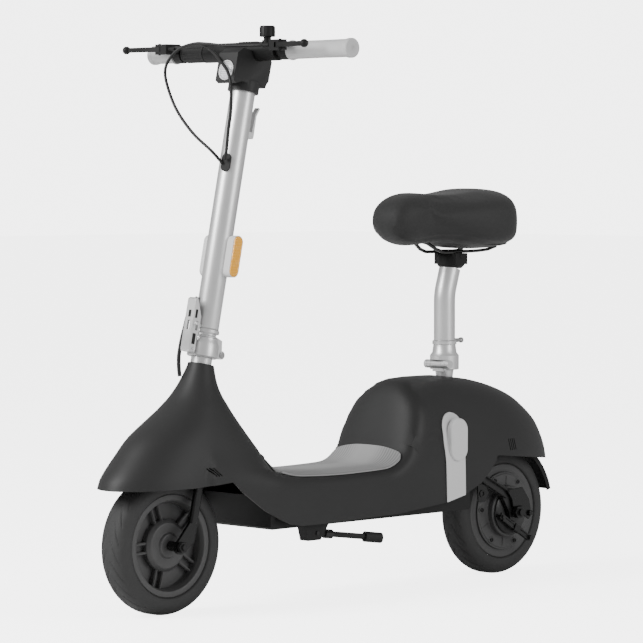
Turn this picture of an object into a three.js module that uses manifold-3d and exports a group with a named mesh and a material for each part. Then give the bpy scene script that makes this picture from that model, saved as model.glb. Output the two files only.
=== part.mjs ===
// A seated electric scooter: a one-piece body moulding on a welded frame, a folding stem with
// handlebar, a folding seat post, a plain front wheel and a rear hub motor wheel.
//
// While it is built, the front axle lies at Y = 0, the ground at Z = 0 and the middle plane at
// X = 0. The scooter faces -Y, its left side is +X. At the end the whole is moved so that the
// origin is the middle of its base. Lengths are millimetres, angles are degrees.

import * as THREE from 'three';
import { mergeVertices } from 'three/addons/utils/BufferGeometryUtils.js';
import Module from 'manifold-3d';

const wasm = await Module();
wasm.setup();

// Running gaps, shared by all pieces
const gap = 0.3;
const skinClearance = 0.7;
const overrun = 6;
const weld = 0.001;
const fullTurn = 2 * Math.PI;

// Wheels
const wheelbase = 894;
const wheelRadius = 127;
const tyreHalfWidth = 31;
const treadFlat = 9;
const rimRadius = 93;
const rimHalfWidth = 27;
const rimLip = 5;
const rimWall = 4;
const wheelSegments = 28;
const coverSegments = 22;
const axleRadius = 6;
const nutRadius = 10.5;
const nutThickness = 8;

// Steering axis: it leans back and passes behind the front axle
const rake = 12.1;
const axisSetback = 29.7;

// Front wheel casting
const frontHubRadius = 48;
const frontHubHalfWidth = 25;
const frontSpokeCount = 5;
const frontSpokeWidth = 17;
const frontSpokeHalfDepth = 13;
const frontWebHalf = 1.5;
const frontDishDepth = 5;
const frontBossRadius = 17;

// Front fork
const steererRadius = 14.3;
const steererBore = 10;
const forkCrownHeight = 142;
const forkCrownThickness = 16;
const forkCrownDepth = 46;
const forkHalfSpan = 46;
const bladeWidth = 11;
const bladeDepth = 21;
const bladeForward = 6;
const tabThickness = 6;
const tabWidth = 30;

// Head tube and headset
const headTubeRadius = 20;
const headTubeWall = 4.5;
const headTubeFoot = 176;
const headTubeHeight = 148;
const headRingRadius = 19.6;
const lowerRingHeight = 10;

// Fold joint at the foot of the stem, heights along the steering axis above the front axle
const neckTop = 332;
const collarFoot = 344.5;
const collarHeight = 36;
const collarRadius = 28.5;
const collarMouth = 24;
const foldPivotBack = 37;
const foldPivotRise = 10.5;
const foldPivotHeight = collarFoot + foldPivotRise;
const knuckleRadius = 8;
const knuckleWidth = 12;
const knuckleLug = 9;
const foldPinRadius = 3;
const waistRadius = 20;
const waistHeight = 9;
const flangeRadius = 25;
const flangeHeight = 7;
const seam = 0.6;

// Latch lever in front of the fold joint
const latchHalfWidth = 11;
const latchFront = 46;
const latchPivotFront = 36;
const latchPivotHeight = foldPivotHeight;
const latchLength = 94;
const latchWall = 3.5;
const latchCheekDepth = 19;
const latchPinRadius = 2.5;
const latchSlotRise = 40;
const latchSlotLength = 17;
const latchSlotWidth = 6;

// Stem
const stemRadius = 23;
const stemWall = 2.2;
const stemTop = 858;
const barHeight = 1025.5;
const barBack = 2.5;

// Handlebar, grips and controls
const barRadius = 11.1;
const barHalfLength = 266;
const barCoverRadius = 18;
const barCoverLeft = 78;
const barCoverRight = 112;
const gripRadius = 16.5;
const gripEndRing = 18;
const leftGripStart = 111;
const rightGripStart = 200;
const gripEnd = 268;
const clampWidth = 20;
const perchLift = 9;
const leverPivotOut = 20;
const leverPivotAhead = 38;
const leverTurnOut = 77.5;
const leverTurnAhead = 15;
const clampRadius = 17;
const throttleRadius = 17;
const throttleStart = 114;
const throttleEnd = 176;
const leftClampAt = 99;
const rightClampAt = 188;
const leverThickness = 9;
const leverPinRadius = 2.4;
const leverBall = 8;
const perchThickness = 19;
const adjusterLength = 14;
const adjusterRadius = 4.2;

// Head housing with the headlight
const housingHalfWidth = 25;
const housingFront = 50;
const housingBack = 37;
const housingFoot = 858;
const housingDrop = 70;
const sleeveRadius = 29;
const sleeveFoot = 842;
const lensRadius = 16;
const lensDrop = 47;
const lensDome = 5;
const bezelRadius = 19;
const bezelDepth = 5;
const displayHalfWidth = 34;
const displayThickness = 2;
const displayTilt = 28;
const displayFlat = 15.2;

// Bell on the left of the bar
const bellAt = 46;
const bellRadius = 14.5;
const bellCapHeight = 20.6;
const bellStemRadius = 7;
const bellStemHeight = 5.8;
const bellSeat = 2.2;
const bellBaseRadius = 10;
const bellFlutes = 6;
const fluteRadius = 1.8;

// Side reflectors and rear hook on the stem
const reflectorHeight = 535;
const reflectorLength = 78;
const reflectorHalfWidth = 12;
const reflectorBack = 9;
const reflectorThickness = 17;
const reflectorLensHalfWidth = 7;
const reflectorLensLength = 64;
const reflectorLensRise = 2.5;
const hookLength = 50;
const hookClearance = 22;
const hookHeight = sleeveFoot - hookLength - hookClearance;
const hookHalfWidth = 9;
const hookStandOff = 12;

// Body moulding
const shellWall = 3;
const lipHeight = 234;
const neckRadius = 23.6;
const noseHalfWidth = 95;
const noseReach = 188;
const shieldReach = 216;
const deckHalfWidth = 108;
const deckHeight = 235;
const deckCrown = 6;
const deckDish = 8;
const deckShoulder = 22;
const deckFront = 80;
const deckBack = 800;
const cowlTop = 405.5;
const cowlFoot = 150;
const cowlFront = 541;
const cowlFrontHeight = 276;
const cowlFace = 26;
const cowlCrest = 715;
const cowlBack = 1025;
const cowlTailStart = 800;
const blendRadius = 42;
const skinFoot = 120;
const rearFan = 760;
const frontTurns = 12;
const tailSteps = 14;
const rayStep = 6;
const rayReach = 420;

// Lower edge of the moulding: arches and skirt
const archCornerAt = 88;
const archCornerHeight = 241.5;
const skirtFrontAt = 206;
const skirtHeight = 149.5;
const skirtRearHeight = 177.5;
const skirtRearAt = 700;
const rearArchAt = 797;
const rearArchHeight = 248.5;
const tailHeight = 226;

// Vent slits of the moulding, and the lens in its tail
const ventLength = 24;
const rearVentAt = 846;
const rearVentHeight = 267;
const rearVentCount = 4;
const rearVentLean = 12;
const frontVentAt = 46;
const frontVentHeight = 262;
const frontVentCount = 3;
const frontVentLean = -50;
const tailLightHeight = 300;
const tailLightHalfWidth = 26;
const tailLightHalfHeight = 12;
const tailLightCorner = 8;

// Floor mat and side trims
const matThickness = 3;
const matClearance = 1.1;
const matHalfWidth = 92;
const matFront = 213;
const matBack = 538;
const matLift = 50;
const matCorner = 16;
const trimThickness = 2.6;
const trimFront = 641;
const trimBack = 697;
const trimTop = 344;
const padAt = 674;
const padHalfWidth = 23;
const padTop = 331;
const padFoot = 246;
const padFace = 113.5;

// Belly tray, battery and controller
const bellyHalfWidth = 90;
const bellyFoot = 146;
const bellyFront = 190;
const bellyBack = 731;
const bellyWall = 2.5;
const bellyTop = 184;
const bellyWallTop = 207;
const bellyFlange = 104.6;
const batteryHalfWidth = 80;
const batteryHeight = 34;
const batteryFront = 214;
const batteryBack = 560;
const batteryEdge = 5;
const controllerHalfWidth = 40;
const controllerLength = 110;
const controllerHeight = 34;
const controllerFront = 585;

// Frame
const beamHalfWidth = 28;
const beamHeight = 30;
const beamFoot = 190;
const beamFront = 205;
const beamBack = 745;
const downTubeRadius = 15;
const mastAt = 748;
const mastRadius = 22;
const mastWall = 3;
const mastTop = 376;
const armInner = 55;
const armThickness = 7;
const armDepth = 16;
const armFrontAt = 738;
const armFrontHeight = 222;
const armKneeAt = 866;
const armKneeHeight = 166;
const dropoutRadius = 20;
const crossTubeRadius = 12;

// Seat hinge, seat post and saddle
const seatAxisAt = 752.7;
const coneFootRadius = 13.5;
const coneTopRadius = 18.5;
const coneHeight = 38.2;
const seatHoleRadius = 17.5;
const cupRadius = 28.6;
const cupHeight = 34;
const barrelRadius = 8.4;
const barrelHalfLength = 32;
const barrelForward = 18;
const cupFoot = mastTop + coneHeight + 3 * gap;
const barrelRise = 10.9;
const barrelHeight = cupFoot + barrelRise;
const seatWaistRadius = 22;
const seatWaistHeight = 15;
const seatFlangeRadius = 24;
const seatFlangeHeight = 9;
const postRadius = 21;
const postWall = 2.5;
const postStraight = 87;
const postTopAt = 768;
const seatLugHalf = 14;
const seatPinRadius = 4;
const postSides = 18;
const seatPegRadius = 4;
const seatPegLength = 26;
const clampHeadRadius = 27;
const clampHeadHeight = 30;
const railHalfSpan = 24;
const railRadius = 3.6;
const railFrontRise = 22.6;
const saddleWall = 13;
const panClearance = 1.2;
const saddleFrontAt = 577;
const saddleLength = 302;
const saddleRearHalf = 112;
const saddleFoot = 650;
const saddleDepth = 120;
const saddleTop = saddleFoot + saddleDepth;
const postTopDrop = 36;
const postTopHeight = saddleFoot - postTopDrop;
const railDrop = 2;
const railHeight = saddleFoot - railDrop;

// Rear wheel motor, brake and axle
const motorRadius = 80;
const motorCoverAt = 33;
const coverScrews = 6;
const screwHeadRadius = 4.5;
const screwCircle = 68;
const drumRadius = 51;
const drumFace = 47;
const brakePlateRadius = 46;
const brakePlateThickness = 5;
const rearAxleRadius = 7;
const rearAxleHalf = 74;
const rearNutRadius = 13;
const armWasher = 3;
const bossFace = 40;
const brakePivotAt = 852;
const brakePivotHeight = 120;
const brakeArmAt = 64;
const brakeArmRun = 78;
const brakeArmDrop = 47;
const brakeArmThickness = 4;

// Rear mudguard
const guardRadius = 136.5;
const guardWall = 2.5;
const guardHalfWidth = 38;
const guardStart = 15;
const guardEnd = 118;

// Kickstand
const standAt = 78;
const standPivotAt = 312;
const standPivotHeight = 131;
const standLength = 150;
const standRadius = 6.3;
const standSplay = 24;
const standFall = 19;
const standFootRadius = 10.2;
const standBracketHalf = 11;
const standBracketWall = 3;
const standPinRadius = 4;

// Cables
const grommetHeight = 705;
const grommetTurn = 20;
const cableRadius = 2.6;
const harnessRadius = 3.2;

// Measured shapes, as shares of the sizes above
// [share of the height from lip to neck, share of the reach beyond the neck]
const noseFrontShares = [[0, 1], [0.09, 0.974], [0.26, 0.826], [0.405, 0.68], [0.52, 0.487],
  [0.64, 0.275], [0.72, 0.168], [0.84, 0.076], [1, 0]];
const noseSideShares = [[0, 1], [0.09, 0.972], [0.26, 0.874], [0.405, 0.748], [0.52, 0.62],
  [0.64, 0.462], [0.72, 0.345], [0.84, 0.168], [1, 0]];
const shieldShares = [[0, 1], [0.07, 0.95], [0.13, 0.8], [0.29, 0.572], [0.49, 0.332],
  [0.69, 0.142], [0.81, 0.064], [1, 0]];
// Where the rays stand along the floor, and how they spread over half an arch
const archSteps = [0.1, 0.2, 0.32, 0.45, 0.57, 0.67, 0.75, 0.81, 0.87, 0.93, 1];
const archShares = [0, 0.15, 0.29, 0.41, 0.52, 0.7, 1];
// [share of the height from the foot of the cowl's face to its top, share of its lean]
const cowlFaceShares = [[0, 0], [0.19, 0.1], [0.38, 0.215], [0.57, 0.33], [0.764, 0.42],
  [0.888, 0.53], [0.973, 0.68], [1, 1]];
const cowlFaceLean = 92;
const cowlRoundness = 2.8;
const cowlCut = 0.995;
// [share of the height from the tail's edge to the top, share of the way back from the top]
const cowlTailShares = [[0, 1], [0.16, 0.977], [0.33, 0.929], [0.47, 0.871], [0.61, 0.774],
  [0.75, 0.645], [0.865, 0.468], [0.944, 0.274], [0.98, 0.1], [1, 0]];

const steel = new THREE.MeshStandardMaterial({ color: 0x1b1c1e, roughness: 0.5, metalness: 0.6 });
const blackPlastic = new THREE.MeshStandardMaterial({ color: 0x242526, roughness: 0.55 });
const bodyPlastic = new THREE.MeshStandardMaterial({ color: 0x2b2c2d, roughness: 0.42 });
const silver = new THREE.MeshStandardMaterial({ color: 0xb4b7b9, roughness: 0.35, metalness: 0.7 });
const casting = new THREE.MeshStandardMaterial({ color: 0x9fa2a5, roughness: 0.45, metalness: 0.6 });
const zinc = new THREE.MeshStandardMaterial({ color: 0xc9cbcd, roughness: 0.25, metalness: 0.9 });
const rubber = new THREE.MeshStandardMaterial({ color: 0x1c1c1d, roughness: 0.85 });
const gripRubber = new THREE.MeshStandardMaterial({ color: 0xb9bbbc, roughness: 0.7 });
const matRubber = new THREE.MeshStandardMaterial({ color: 0x8b8c8e, roughness: 0.8 });
const trimPlastic = new THREE.MeshStandardMaterial({ color: 0xbfc0c1, roughness: 0.5 });
const wheelPaint = new THREE.MeshStandardMaterial({ color: 0x333436, roughness: 0.45, metalness: 0.3 });
const amber = new THREE.MeshStandardMaterial({ color: 0xd08a28, roughness: 0.2 });
const clearLens = new THREE.MeshStandardMaterial({ color: 0xe8eaec, roughness: 0.1 });
const redLens = new THREE.MeshStandardMaterial({ color: 0x8c1716, roughness: 0.2 });
const leather = new THREE.MeshStandardMaterial({ color: 0x262627, roughness: 0.6 });

const radians = (angle) => THREE.MathUtils.degToRad(angle);
const sinRake = Math.sin(radians(rake));
const cosRake = Math.cos(radians(rake));
const tanRake = sinRake / cosRake;

// Y of the steering axis at a height above the ground
const axisAt = (z) => axisSetback + (z - wheelRadius) * tanRake;

// Geometry to solid and back, with degenerate triangles left out
function toSolid(geometry) {
  const bare = new THREE.BufferGeometry();
  bare.setAttribute('position', geometry.getAttribute('position').clone());
  if (geometry.index) bare.setIndex(geometry.index.clone());
  const merged = mergeVertices(bare, weld);
  const corners = merged.index.array;
  const kept = [];
  for (let i = 0; i < corners.length; i += 3) {
    const [a, b, c] = [corners[i], corners[i + 1], corners[i + 2]];
    if (a !== b && b !== c && c !== a) kept.push(a, b, c);
  }
  return new wasm.Manifold(new wasm.Mesh({
    numProp: 3,
    vertProperties: merged.getAttribute('position').array,
    triVerts: new Uint32Array(kept),
  }));
}

function fromSolid(body) {
  const mesh = body.getMesh();
  const geometry = new THREE.BufferGeometry();
  const places = new Float32Array(mesh.numVert * 3);
  for (let i = 0; i < mesh.numVert; i += 1) {
    places.set(mesh.vertProperties.subarray(i * mesh.numProp, i * mesh.numProp + 3), i * 3);
  }
  geometry.setAttribute('position', new THREE.BufferAttribute(places, 3));
  geometry.setIndex(Array.from(mesh.triVerts));
  geometry.computeVertexNormals();
  return geometry;
}

const join = (...parts) => fromSolid(parts.map(toSolid).reduce((whole, part) => whole.add(part)));
const common = (a, b) => fromSolid(toSolid(a).intersect(toSolid(b)));

function cut(body, ...tools) {
  return fromSolid(tools.reduce((whole, tool) => whole.subtract(toSolid(tool)), toSolid(body)));
}

// Copy on the other side of the middle plane
function mirrored(geometry) {
  const copy = geometry.index ? geometry.toNonIndexed() : geometry.clone();
  copy.scale(-1, 1, 1);
  const p = copy.getAttribute('position');
  for (let i = 0; i < p.count; i += 3) {
    const [x, y, z] = [p.getX(i), p.getY(i), p.getZ(i)];
    p.setXYZ(i, p.getX(i + 1), p.getY(i + 1), p.getZ(i + 1));
    p.setXYZ(i + 1, x, y, z);
  }
  return fromSolid(toSolid(copy));
}

function shapeOf(points) {
  return new THREE.Shape(points.map(([a, b]) => new THREE.Vector2(a, b)));
}

function extruded(shape, depth, bend = 4) {
  return new THREE.ExtrudeGeometry(shape, { depth, bevelEnabled: false, curveSegments: bend });
}

const alongX = new THREE.Matrix4().makeBasis(
  new THREE.Vector3(0, 1, 0), new THREE.Vector3(0, 0, 1), new THREE.Vector3(1, 0, 0));
const alongY = new THREE.Matrix4().makeBasis(
  new THREE.Vector3(1, 0, 0), new THREE.Vector3(0, 0, 1), new THREE.Vector3(0, -1, 0));

// Prisms: outlines in (y, z), (x, z) and (x, y), drawn out along the third axis
const prismX = (shape, from, to, bend) => extruded(shape, to - from, bend).applyMatrix4(alongX)
  .translate(from, 0, 0);
const prismY = (shape, from, to, bend) => extruded(shape, to - from, bend).applyMatrix4(alongY)
  .translate(0, to, 0);
const prismZ = (shape, from, to, bend) => extruded(shape, to - from, bend).translate(0, 0, from);

function block(x0, x1, y0, y1, z0, z1) {
  return new THREE.BoxGeometry(x1 - x0, y1 - y0, z1 - z0)
    .translate((x0 + x1) / 2, (y0 + y1) / 2, (z0 + z1) / 2);
}

// Rounded rectangle round (cx, cy)
function roundedOutline(cx, cy, halfX, halfY, corner) {
  const r = Math.min(corner, halfX, halfY);
  const shape = new THREE.Shape();
  shape.moveTo(cx - halfX + r, cy - halfY);
  shape.lineTo(cx + halfX - r, cy - halfY);
  shape.absarc(cx + halfX - r, cy - halfY + r, r, -Math.PI / 2, 0);
  shape.lineTo(cx + halfX, cy + halfY - r);
  shape.absarc(cx + halfX - r, cy + halfY - r, r, 0, Math.PI / 2);
  shape.lineTo(cx - halfX + r, cy + halfY);
  shape.absarc(cx - halfX + r, cy + halfY - r, r, Math.PI / 2, Math.PI);
  shape.lineTo(cx - halfX, cy - halfY + r);
  shape.absarc(cx - halfX + r, cy - halfY + r, r, Math.PI, Math.PI * 1.5);
  return shape;
}

// Solid of revolution: profile points are [radius, height]. The axis is Z, X or Y.
function turned(profile, segments = 24) {
  const points = profile.map(([r, s]) => new THREE.Vector2(r, s));
  return new THREE.LatheGeometry(points, segments).rotateX(Math.PI / 2);
}
const turnedX = (profile, segments) => turned(profile, segments).rotateY(Math.PI / 2);
const turnedY = (profile, segments) => turned(profile, segments).rotateX(-Math.PI / 2);

const rod = (r, from, to, segments) => turned([[0, from], [r, from], [r, to], [0, to]], segments);
const rodX = (r, from, to, segments) => turnedX([[0, from], [r, from], [r, to], [0, to]], segments);
const pipe = (r, bore, from, to, segments) => turned(
  [[bore, from], [r, from], [r, to], [bore, to], [bore, from]], segments);
const pipeX = (r, bore, from, to, segments) => turnedX(
  [[bore, from], [r, from], [r, to], [bore, to], [bore, from]], segments);

// Tube of a many-sided section along a smooth curve through points
function tube(points, radius, steps, sides = 10) {
  const curve = new THREE.CatmullRomCurve3(points.map((p) => new THREE.Vector3(...p)));
  const section = new THREE.Shape();
  for (let i = 0; i < sides; i += 1) {
    const turn = (i / sides) * fullTurn;
    const [a, b] = [radius * Math.cos(turn), radius * Math.sin(turn)];
    if (i === 0) section.moveTo(a, b);
    else section.lineTo(a, b);
  }
  return new THREE.ExtrudeGeometry(section, { steps, bevelEnabled: false, extrudePath: curve });
}

// Straight bar of round section between two points
function bar(from, to, radius, segments = 14) {
  const [a, b] = [new THREE.Vector3(...from), new THREE.Vector3(...to)];
  const reach = b.clone().sub(a);
  const turn = new THREE.Quaternion().setFromUnitVectors(
    new THREE.Vector3(0, 0, 1), reach.clone().normalize());
  return rod(radius, 0, reach.length(), segments).applyQuaternion(turn).translate(a.x, a.y, a.z);
}

// Closed solid through loops that have the same number of points
function loft(loops) {
  const count = loops[0].length;
  const places = loops.flat(2);
  const faces = [];
  for (let k = 0; k + 1 < loops.length; k += 1) {
    for (let j = 0; j < count; j += 1) {
      const next = (j + 1) % count;
      const [a, b] = [k * count + j, k * count + next];
      const [c, d] = [a + count, b + count];
      const side = places[3 * a] + places[3 * b] + places[3 * c] + places[3 * d];
      if (side > 0) faces.push(a, b, d, a, d, c);
      else faces.push(a, b, c, b, d, c);
    }
  }
  [0, loops.length - 1].forEach((k) => {
    const middle = [0, 1, 2].map((i) => loops[k].reduce((sum, p) => sum + p[i], 0) / count);
    const hub = places.length / 3;
    places.push(...middle);
    for (let j = 0; j < count; j += 1) {
      const [a, b] = [k * count + j, k * count + (j + 1) % count];
      if (k === 0) faces.push(hub, b, a);
      else faces.push(hub, a, b);
    }
  });
  const geometry = new THREE.BufferGeometry();
  geometry.setAttribute('position', new THREE.Float32BufferAttribute(places, 3));
  geometry.setIndex(volumeOf(places, faces) < 0 ? faces.reverse() : faces);
  return geometry;
}

function volumeOf(places, faces) {
  let six = 0;
  const corner = (i) => new THREE.Vector3(places[3 * i], places[3 * i + 1], places[3 * i + 2]);
  for (let i = 0; i < faces.length; i += 3) {
    const [a, b, c] = [corner(faces[i]), corner(faces[i + 1]), corner(faces[i + 2])];
    six += a.dot(b.cross(c));
  }
  return six;
}

// Smooth value through [share, value] pairs
function follow(pairs, share) {
  const last = pairs.length - 1;
  if (share <= pairs[0][0]) return pairs[0][1];
  if (share >= pairs[last][0]) return pairs[last][1];
  const i = pairs.findIndex(([s]) => s > share) - 1;
  const slope = (k) => {
    const [lo, hi] = [Math.max(k - 1, 0), Math.min(k + 1, last)];
    return (pairs[hi][1] - pairs[lo][1]) / (pairs[hi][0] - pairs[lo][0]);
  };
  const width = pairs[i + 1][0] - pairs[i][0];
  const t = (share - pairs[i][0]) / width;
  const [t2, t3] = [t * t, t * t * t];
  return (2 * t3 - 3 * t2 + 1) * pairs[i][1] + (t3 - 2 * t2 + t) * width * slope(i)
    + (3 * t2 - 2 * t3) * pairs[i + 1][1] + (t3 - t2) * width * slope(i + 1);
}

const clamped = (t) => Math.min(Math.max(t, 0), 1);
const eased = (t) => clamped(t) ** 2 * (3 - 2 * clamped(t));

// The body moulding's skin is the zero level of three blended forms. Each returns how far a
// point lies outside it, roughly in millimetres.

// Nose and leg shield: oval rings stacked along the steering axis, from the lip to the neck
function noseForm(x, y, z) {
  const top = wheelRadius + neckTop * cosRake;
  const rise = clamped((z - lipHeight) / (top - lipHeight));
  const along = y - axisAt(z);
  const half = neckRadius + (noseHalfWidth - neckRadius) * follow(noseSideShares, rise);
  const shares = along < 0 ? noseFrontShares : shieldShares;
  const reach = neckRadius + ((along < 0 ? noseReach : shieldReach) - neckRadius) * follow(shares, rise);
  const power = along < 0 ? 2.1 : 2 + 1.1 * eased((1 - rise) * 1.6);
  const ring = (Math.abs(x) / half) ** power + (Math.abs(along) / reach) ** power;
  return (ring ** (1 / power) - 1) * half;
}

// Floor: a dished, crowned deck between rounded shoulders
function deckForm(x, y, z) {
  const half = noseHalfWidth - shellWall * 4
    + (deckHalfWidth - noseHalfWidth + shellWall * 4) * eased((y - deckFront) / (matFront - deckFront));
  const dish = deckDish * ((2 * (y - matFront)) / (matBack - matFront) - 1) ** 2;
  const top = deckHeight + dish + deckCrown * (1 - (x / half) ** 2);
  const [over, above] = [Math.abs(x) - half + deckShoulder, z - top + deckShoulder];
  return Math.hypot(Math.max(over, 0), Math.max(above, 0)) + Math.min(Math.max(over, above), 0)
    - deckShoulder;
}

// Rear cowl: arched sections with a leaning front face and a rounded tail
function cowlForm(x, y, z) {
  const height = cowlTop - cowlFoot;
  const rise = Math.min(Math.max((z - cowlFoot) / height, 0), cowlCut);
  const half = deckHalfWidth * (1 - rise ** cowlRoundness) ** (1 / cowlRoundness);
  const lean = follow(cowlFaceShares, (z - cowlFrontHeight) / (cowlTop - cowlFrontHeight));
  const front = cowlFront + cowlFaceLean * lean - 0.2 * Math.max(cowlFrontHeight - z, 0);
  const face = front + cowlFace;
  const back = follow(cowlTailShares, (z - tailHeight) / (cowlTop - tailHeight));
  const rear = Math.max(cowlCrest + (cowlBack - cowlCrest) * back, face + 1);
  const tail = Math.min(cowlTailStart, face + (rear - face) * 0.35);
  let along = 0;
  let power = 2.6;
  if (y < face) along = (face - y) / cowlFace;
  if (y > tail) {
    along = (y - tail) / (rear - tail);
    power = 2.3;
  }
  const ring = (Math.abs(x) / half) ** power + along ** power;
  const side = (ring ** (1 / power) - 1) * cowlFace;
  return Math.max(side, z - cowlTop);
}

// A form's value divided by its slope is close to a true distance
function evened(form, x, y, z) {
  const step = 0.5;
  const here = form(x, y, z);
  const slope = Math.hypot(
    form(x + step, y, z) - form(x - step, y, z),
    form(x, y + step, z) - form(x, y - step, z),
    form(x, y, z + step) - form(x, y, z - step)) / (2 * step);
  return here / Math.max(slope, 0.2);
}

function blended(a, b) {
  const near = Math.max(blendRadius - Math.abs(a - b), 0) / blendRadius;
  return Math.min(a, b) - (near * near * blendRadius) / 4;
}

function skinGap(x, y, z) {
  const nose = evened(noseForm, x, y, z);
  const deck = y < deckFront - blendRadius || y > deckBack ? blendRadius * 9 : evened(deckForm, x, y, z);
  const cowl = z > cowlTop + blendRadius ? blendRadius * 9 : evened(cowlForm, x, y, z);
  return blended(blended(nose, deck), cowl);
}

// Point of the skin, or of a surface at a set distance from it, along a ray
function skinPoint(from, aim, away) {
  const at = (r) => [from[0] + aim[0] * r, from[1] + aim[1] * r, from[2] + aim[2] * r];
  let near = 0;
  while (near < rayReach && skinGap(...at(near + rayStep)) < away) near += rayStep;
  let far = near + rayStep;
  for (let i = 0; i < 16; i += 1) {
    const middle = (near + far) / 2;
    if (skinGap(...at(middle)) < away) near = middle;
    else far = middle;
  }
  return at(near);
}

// Rays of the skin: first rings round the steering axis, then arches along the floor, then a
// fan of arches over the tail. Each station gives the ray's start and the tilt of both halves.
function skinStations(foot, extraTop) {
  const stations = [];
  const ringHeights = [1, 0.96, 0.905, 0.84, 0.77, 0.69, 0.6, 0.5, 0.4, 0.3, 0.2, 0.1, 0];
  const bottom = (foot - wheelRadius) / cosRake;
  ringHeights.forEach((share, i) => {
    const h = bottom + (neckTop - bottom) * share + (i === 0 ? extraTop : 0);
    const sink = 1 - share;
    stations.push({
      y: axisSetback + h * sinRake,
      z: wheelRadius + h * cosRake,
      front: 180 - rake * (1 - eased(sink * 1.5)),
      back: -rake + (rake + 42) * sink,
    });
  });
  const start = stations[stations.length - 1].y;
  archSteps.forEach((share) => {
    stations.push({ y: start + (rearFan - start) * share, z: foot, back: 42 + 100 * share });
  });
  for (let i = 1; i <= tailSteps; i += 1) {
    stations.push({ y: rearFan, z: foot, back: 142 - 152 * (i / tailSteps) });
  }
  return stations;
}

function skinSolid(away, { drop = 0, extraTop = 0 } = {}) {
  const foot = skinFoot - drop;
  const loops = skinStations(foot, extraTop).map((s) => {
    const from = [0, s.y, s.z];
    const aim = (side, out, tilt) => [side, out * Math.cos(radians(tilt)), out * Math.sin(radians(tilt))];
    const left = skinPoint(from, [1, 0, 0], away);
    const loop = [];
    for (let j = 0; j < frontTurns; j += 1) {
      const turn = (Math.PI * j) / frontTurns;
      if (s.front === undefined) loop.push([left[0] * Math.cos(turn), s.y, s.z]);
      else loop.push(skinPoint(from, aim(Math.cos(turn), Math.sin(turn), s.front), away));
    }
    const half = archShares.map((share) => (share * Math.PI) / 2);
    const sweep = [...half.slice(1).reverse().map((a) => -a), ...half];
    sweep.slice(0, -1).forEach((a) => {
      loop.push(skinPoint(from, aim(Math.sin(a), Math.cos(a), s.back), away));
    });
    return loop;
  });
  return loft(loops);
}

// Lower edge of the moulding in side view, from the nose to the tail
function lowerEdge() {
  const reach = noseReach * 2;
  return [
    [-reach, lipHeight + 2], [-noseHalfWidth, lipHeight], [0, lipHeight + 1.5],
    [archCornerAt * 0.6, lipHeight + 5], [archCornerAt, archCornerHeight],
    [archCornerAt + 20, 223], [skirtFrontAt - 45, 184.5], [skirtFrontAt - 8, 165.5], [skirtFrontAt + 20, 155],
    [skirtFrontAt + 50, skirtHeight + 0.5], [skirtFrontAt + 120, skirtHeight],
    [cowlFront - 28, skirtHeight + 4.5], [trimFront, 166], [skirtRearAt, skirtRearHeight],
    [rearArchAt - 48, 198], [rearArchAt - 18, 224], [rearArchAt - 6, 236],
    [rearArchAt, rearArchHeight], [cowlBack, tailHeight], [cowlBack + noseReach, tailHeight - 12],
  ];
}

const heightOfEdge = (y) => {
  const edge = lowerEdge();
  const i = edge.findIndex((p) => p[0] > y);
  const [[y0, z0], [y1, z1]] = [edge[i - 1], edge[i]];
  return z0 + ((z1 - z0) * (y - y0)) / (y1 - y0);
};

function belowEdge() {
  const edge = lowerEdge();
  const points = [[edge[0][0], -skinFoot], ...edge, [edge[edge.length - 1][0], -skinFoot]];
  return prismX(shapeOf(points), -deckHalfWidth * 2, deckHalfWidth * 2);
}

// Slanted vent slits through one side wall
function ventSlits(at, height, count, length, lean, side) {
  const [width, pitch] = [2.6, 6.2];
  const slits = [];
  for (let i = 0; i < count; i += 1) {
    const slit = roundedOutline(0, 0, width / 2, length / 2, width / 2);
    const tool = prismX(slit, -overrun * 3, overrun * 3, 2).rotateX(radians(lean))
      .translate(side, at + pitch * (i - (count - 1) / 2), height);
    slits.push(tool, mirrored(tool));
  }
  return slits;
}

function bodyShell() {
  const outside = skinSolid(0);
  const inside = skinSolid(-shellWall, { drop: overrun, extraTop: overrun });
  const seatHole = rod(seatHoleRadius, cowlTop - 40, cowlTop + 40).translate(0, seatAxisAt, 0);
  return cut(outside, inside, belowEdge(), seatHole,
    ...ventSlits(rearVentAt, rearVentHeight, rearVentCount, ventLength, rearVentLean, deckHalfWidth - 6),
    ...ventSlits(frontVentAt, frontVentHeight, frontVentCount, ventLength, frontVentLean, noseHalfWidth - 4));
}

function floorMat() {
  const outline = roundedOutline(0, (matFront + matBack) / 2, matHalfWidth, (matBack - matFront) / 2,
    matCorner);
  const slab = common(skinSolid(matClearance + matThickness), prismZ(outline, deckHeight - 30, deckHeight + matLift, 3));
  return cut(slab, skinSolid(matClearance));
}

function sideTrim(inner) {
  const top = new THREE.Shape();
  const half = (trimBack - trimFront) / 2;
  top.moveTo(trimFront, heightOfEdge(trimFront));
  top.lineTo(trimBack, heightOfEdge(trimBack));
  top.lineTo(trimBack, trimTop - half);
  top.absarc(trimFront + half, trimTop - half, half, 0, Math.PI);
  const band = common(skinSolid(skinClearance + trimThickness), prismX(top, 0, deckHalfWidth * 2));
  const middle = (padTop + padFoot) / 2;
  const pad = prismX(roundedOutline(padAt, middle, padHalfWidth, (padTop - padFoot) / 2, padHalfWidth),
    deckHalfWidth - 40, padFace);
  return cut(join(band, pad), inner);
}

function tailLight(inner) {
  const lens = prismY(roundedOutline(0, tailLightHeight, tailLightHalfWidth, tailLightHalfHeight,
    tailLightCorner), cowlTailStart, cowlBack + overrun, 4);
  return cut(common(skinSolid(skinClearance + trimThickness), lens), inner);
}

// Steering frame: its Z runs up the steering axis, its origin lies on the axis at axle height
const steering = new THREE.Group();
steering.position.set(0, axisSetback, wheelRadius);
steering.rotation.x = -radians(rake);
const axleBack = -axisSetback * cosRake;
const axleUp = -axisSetback * sinRake;

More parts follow.
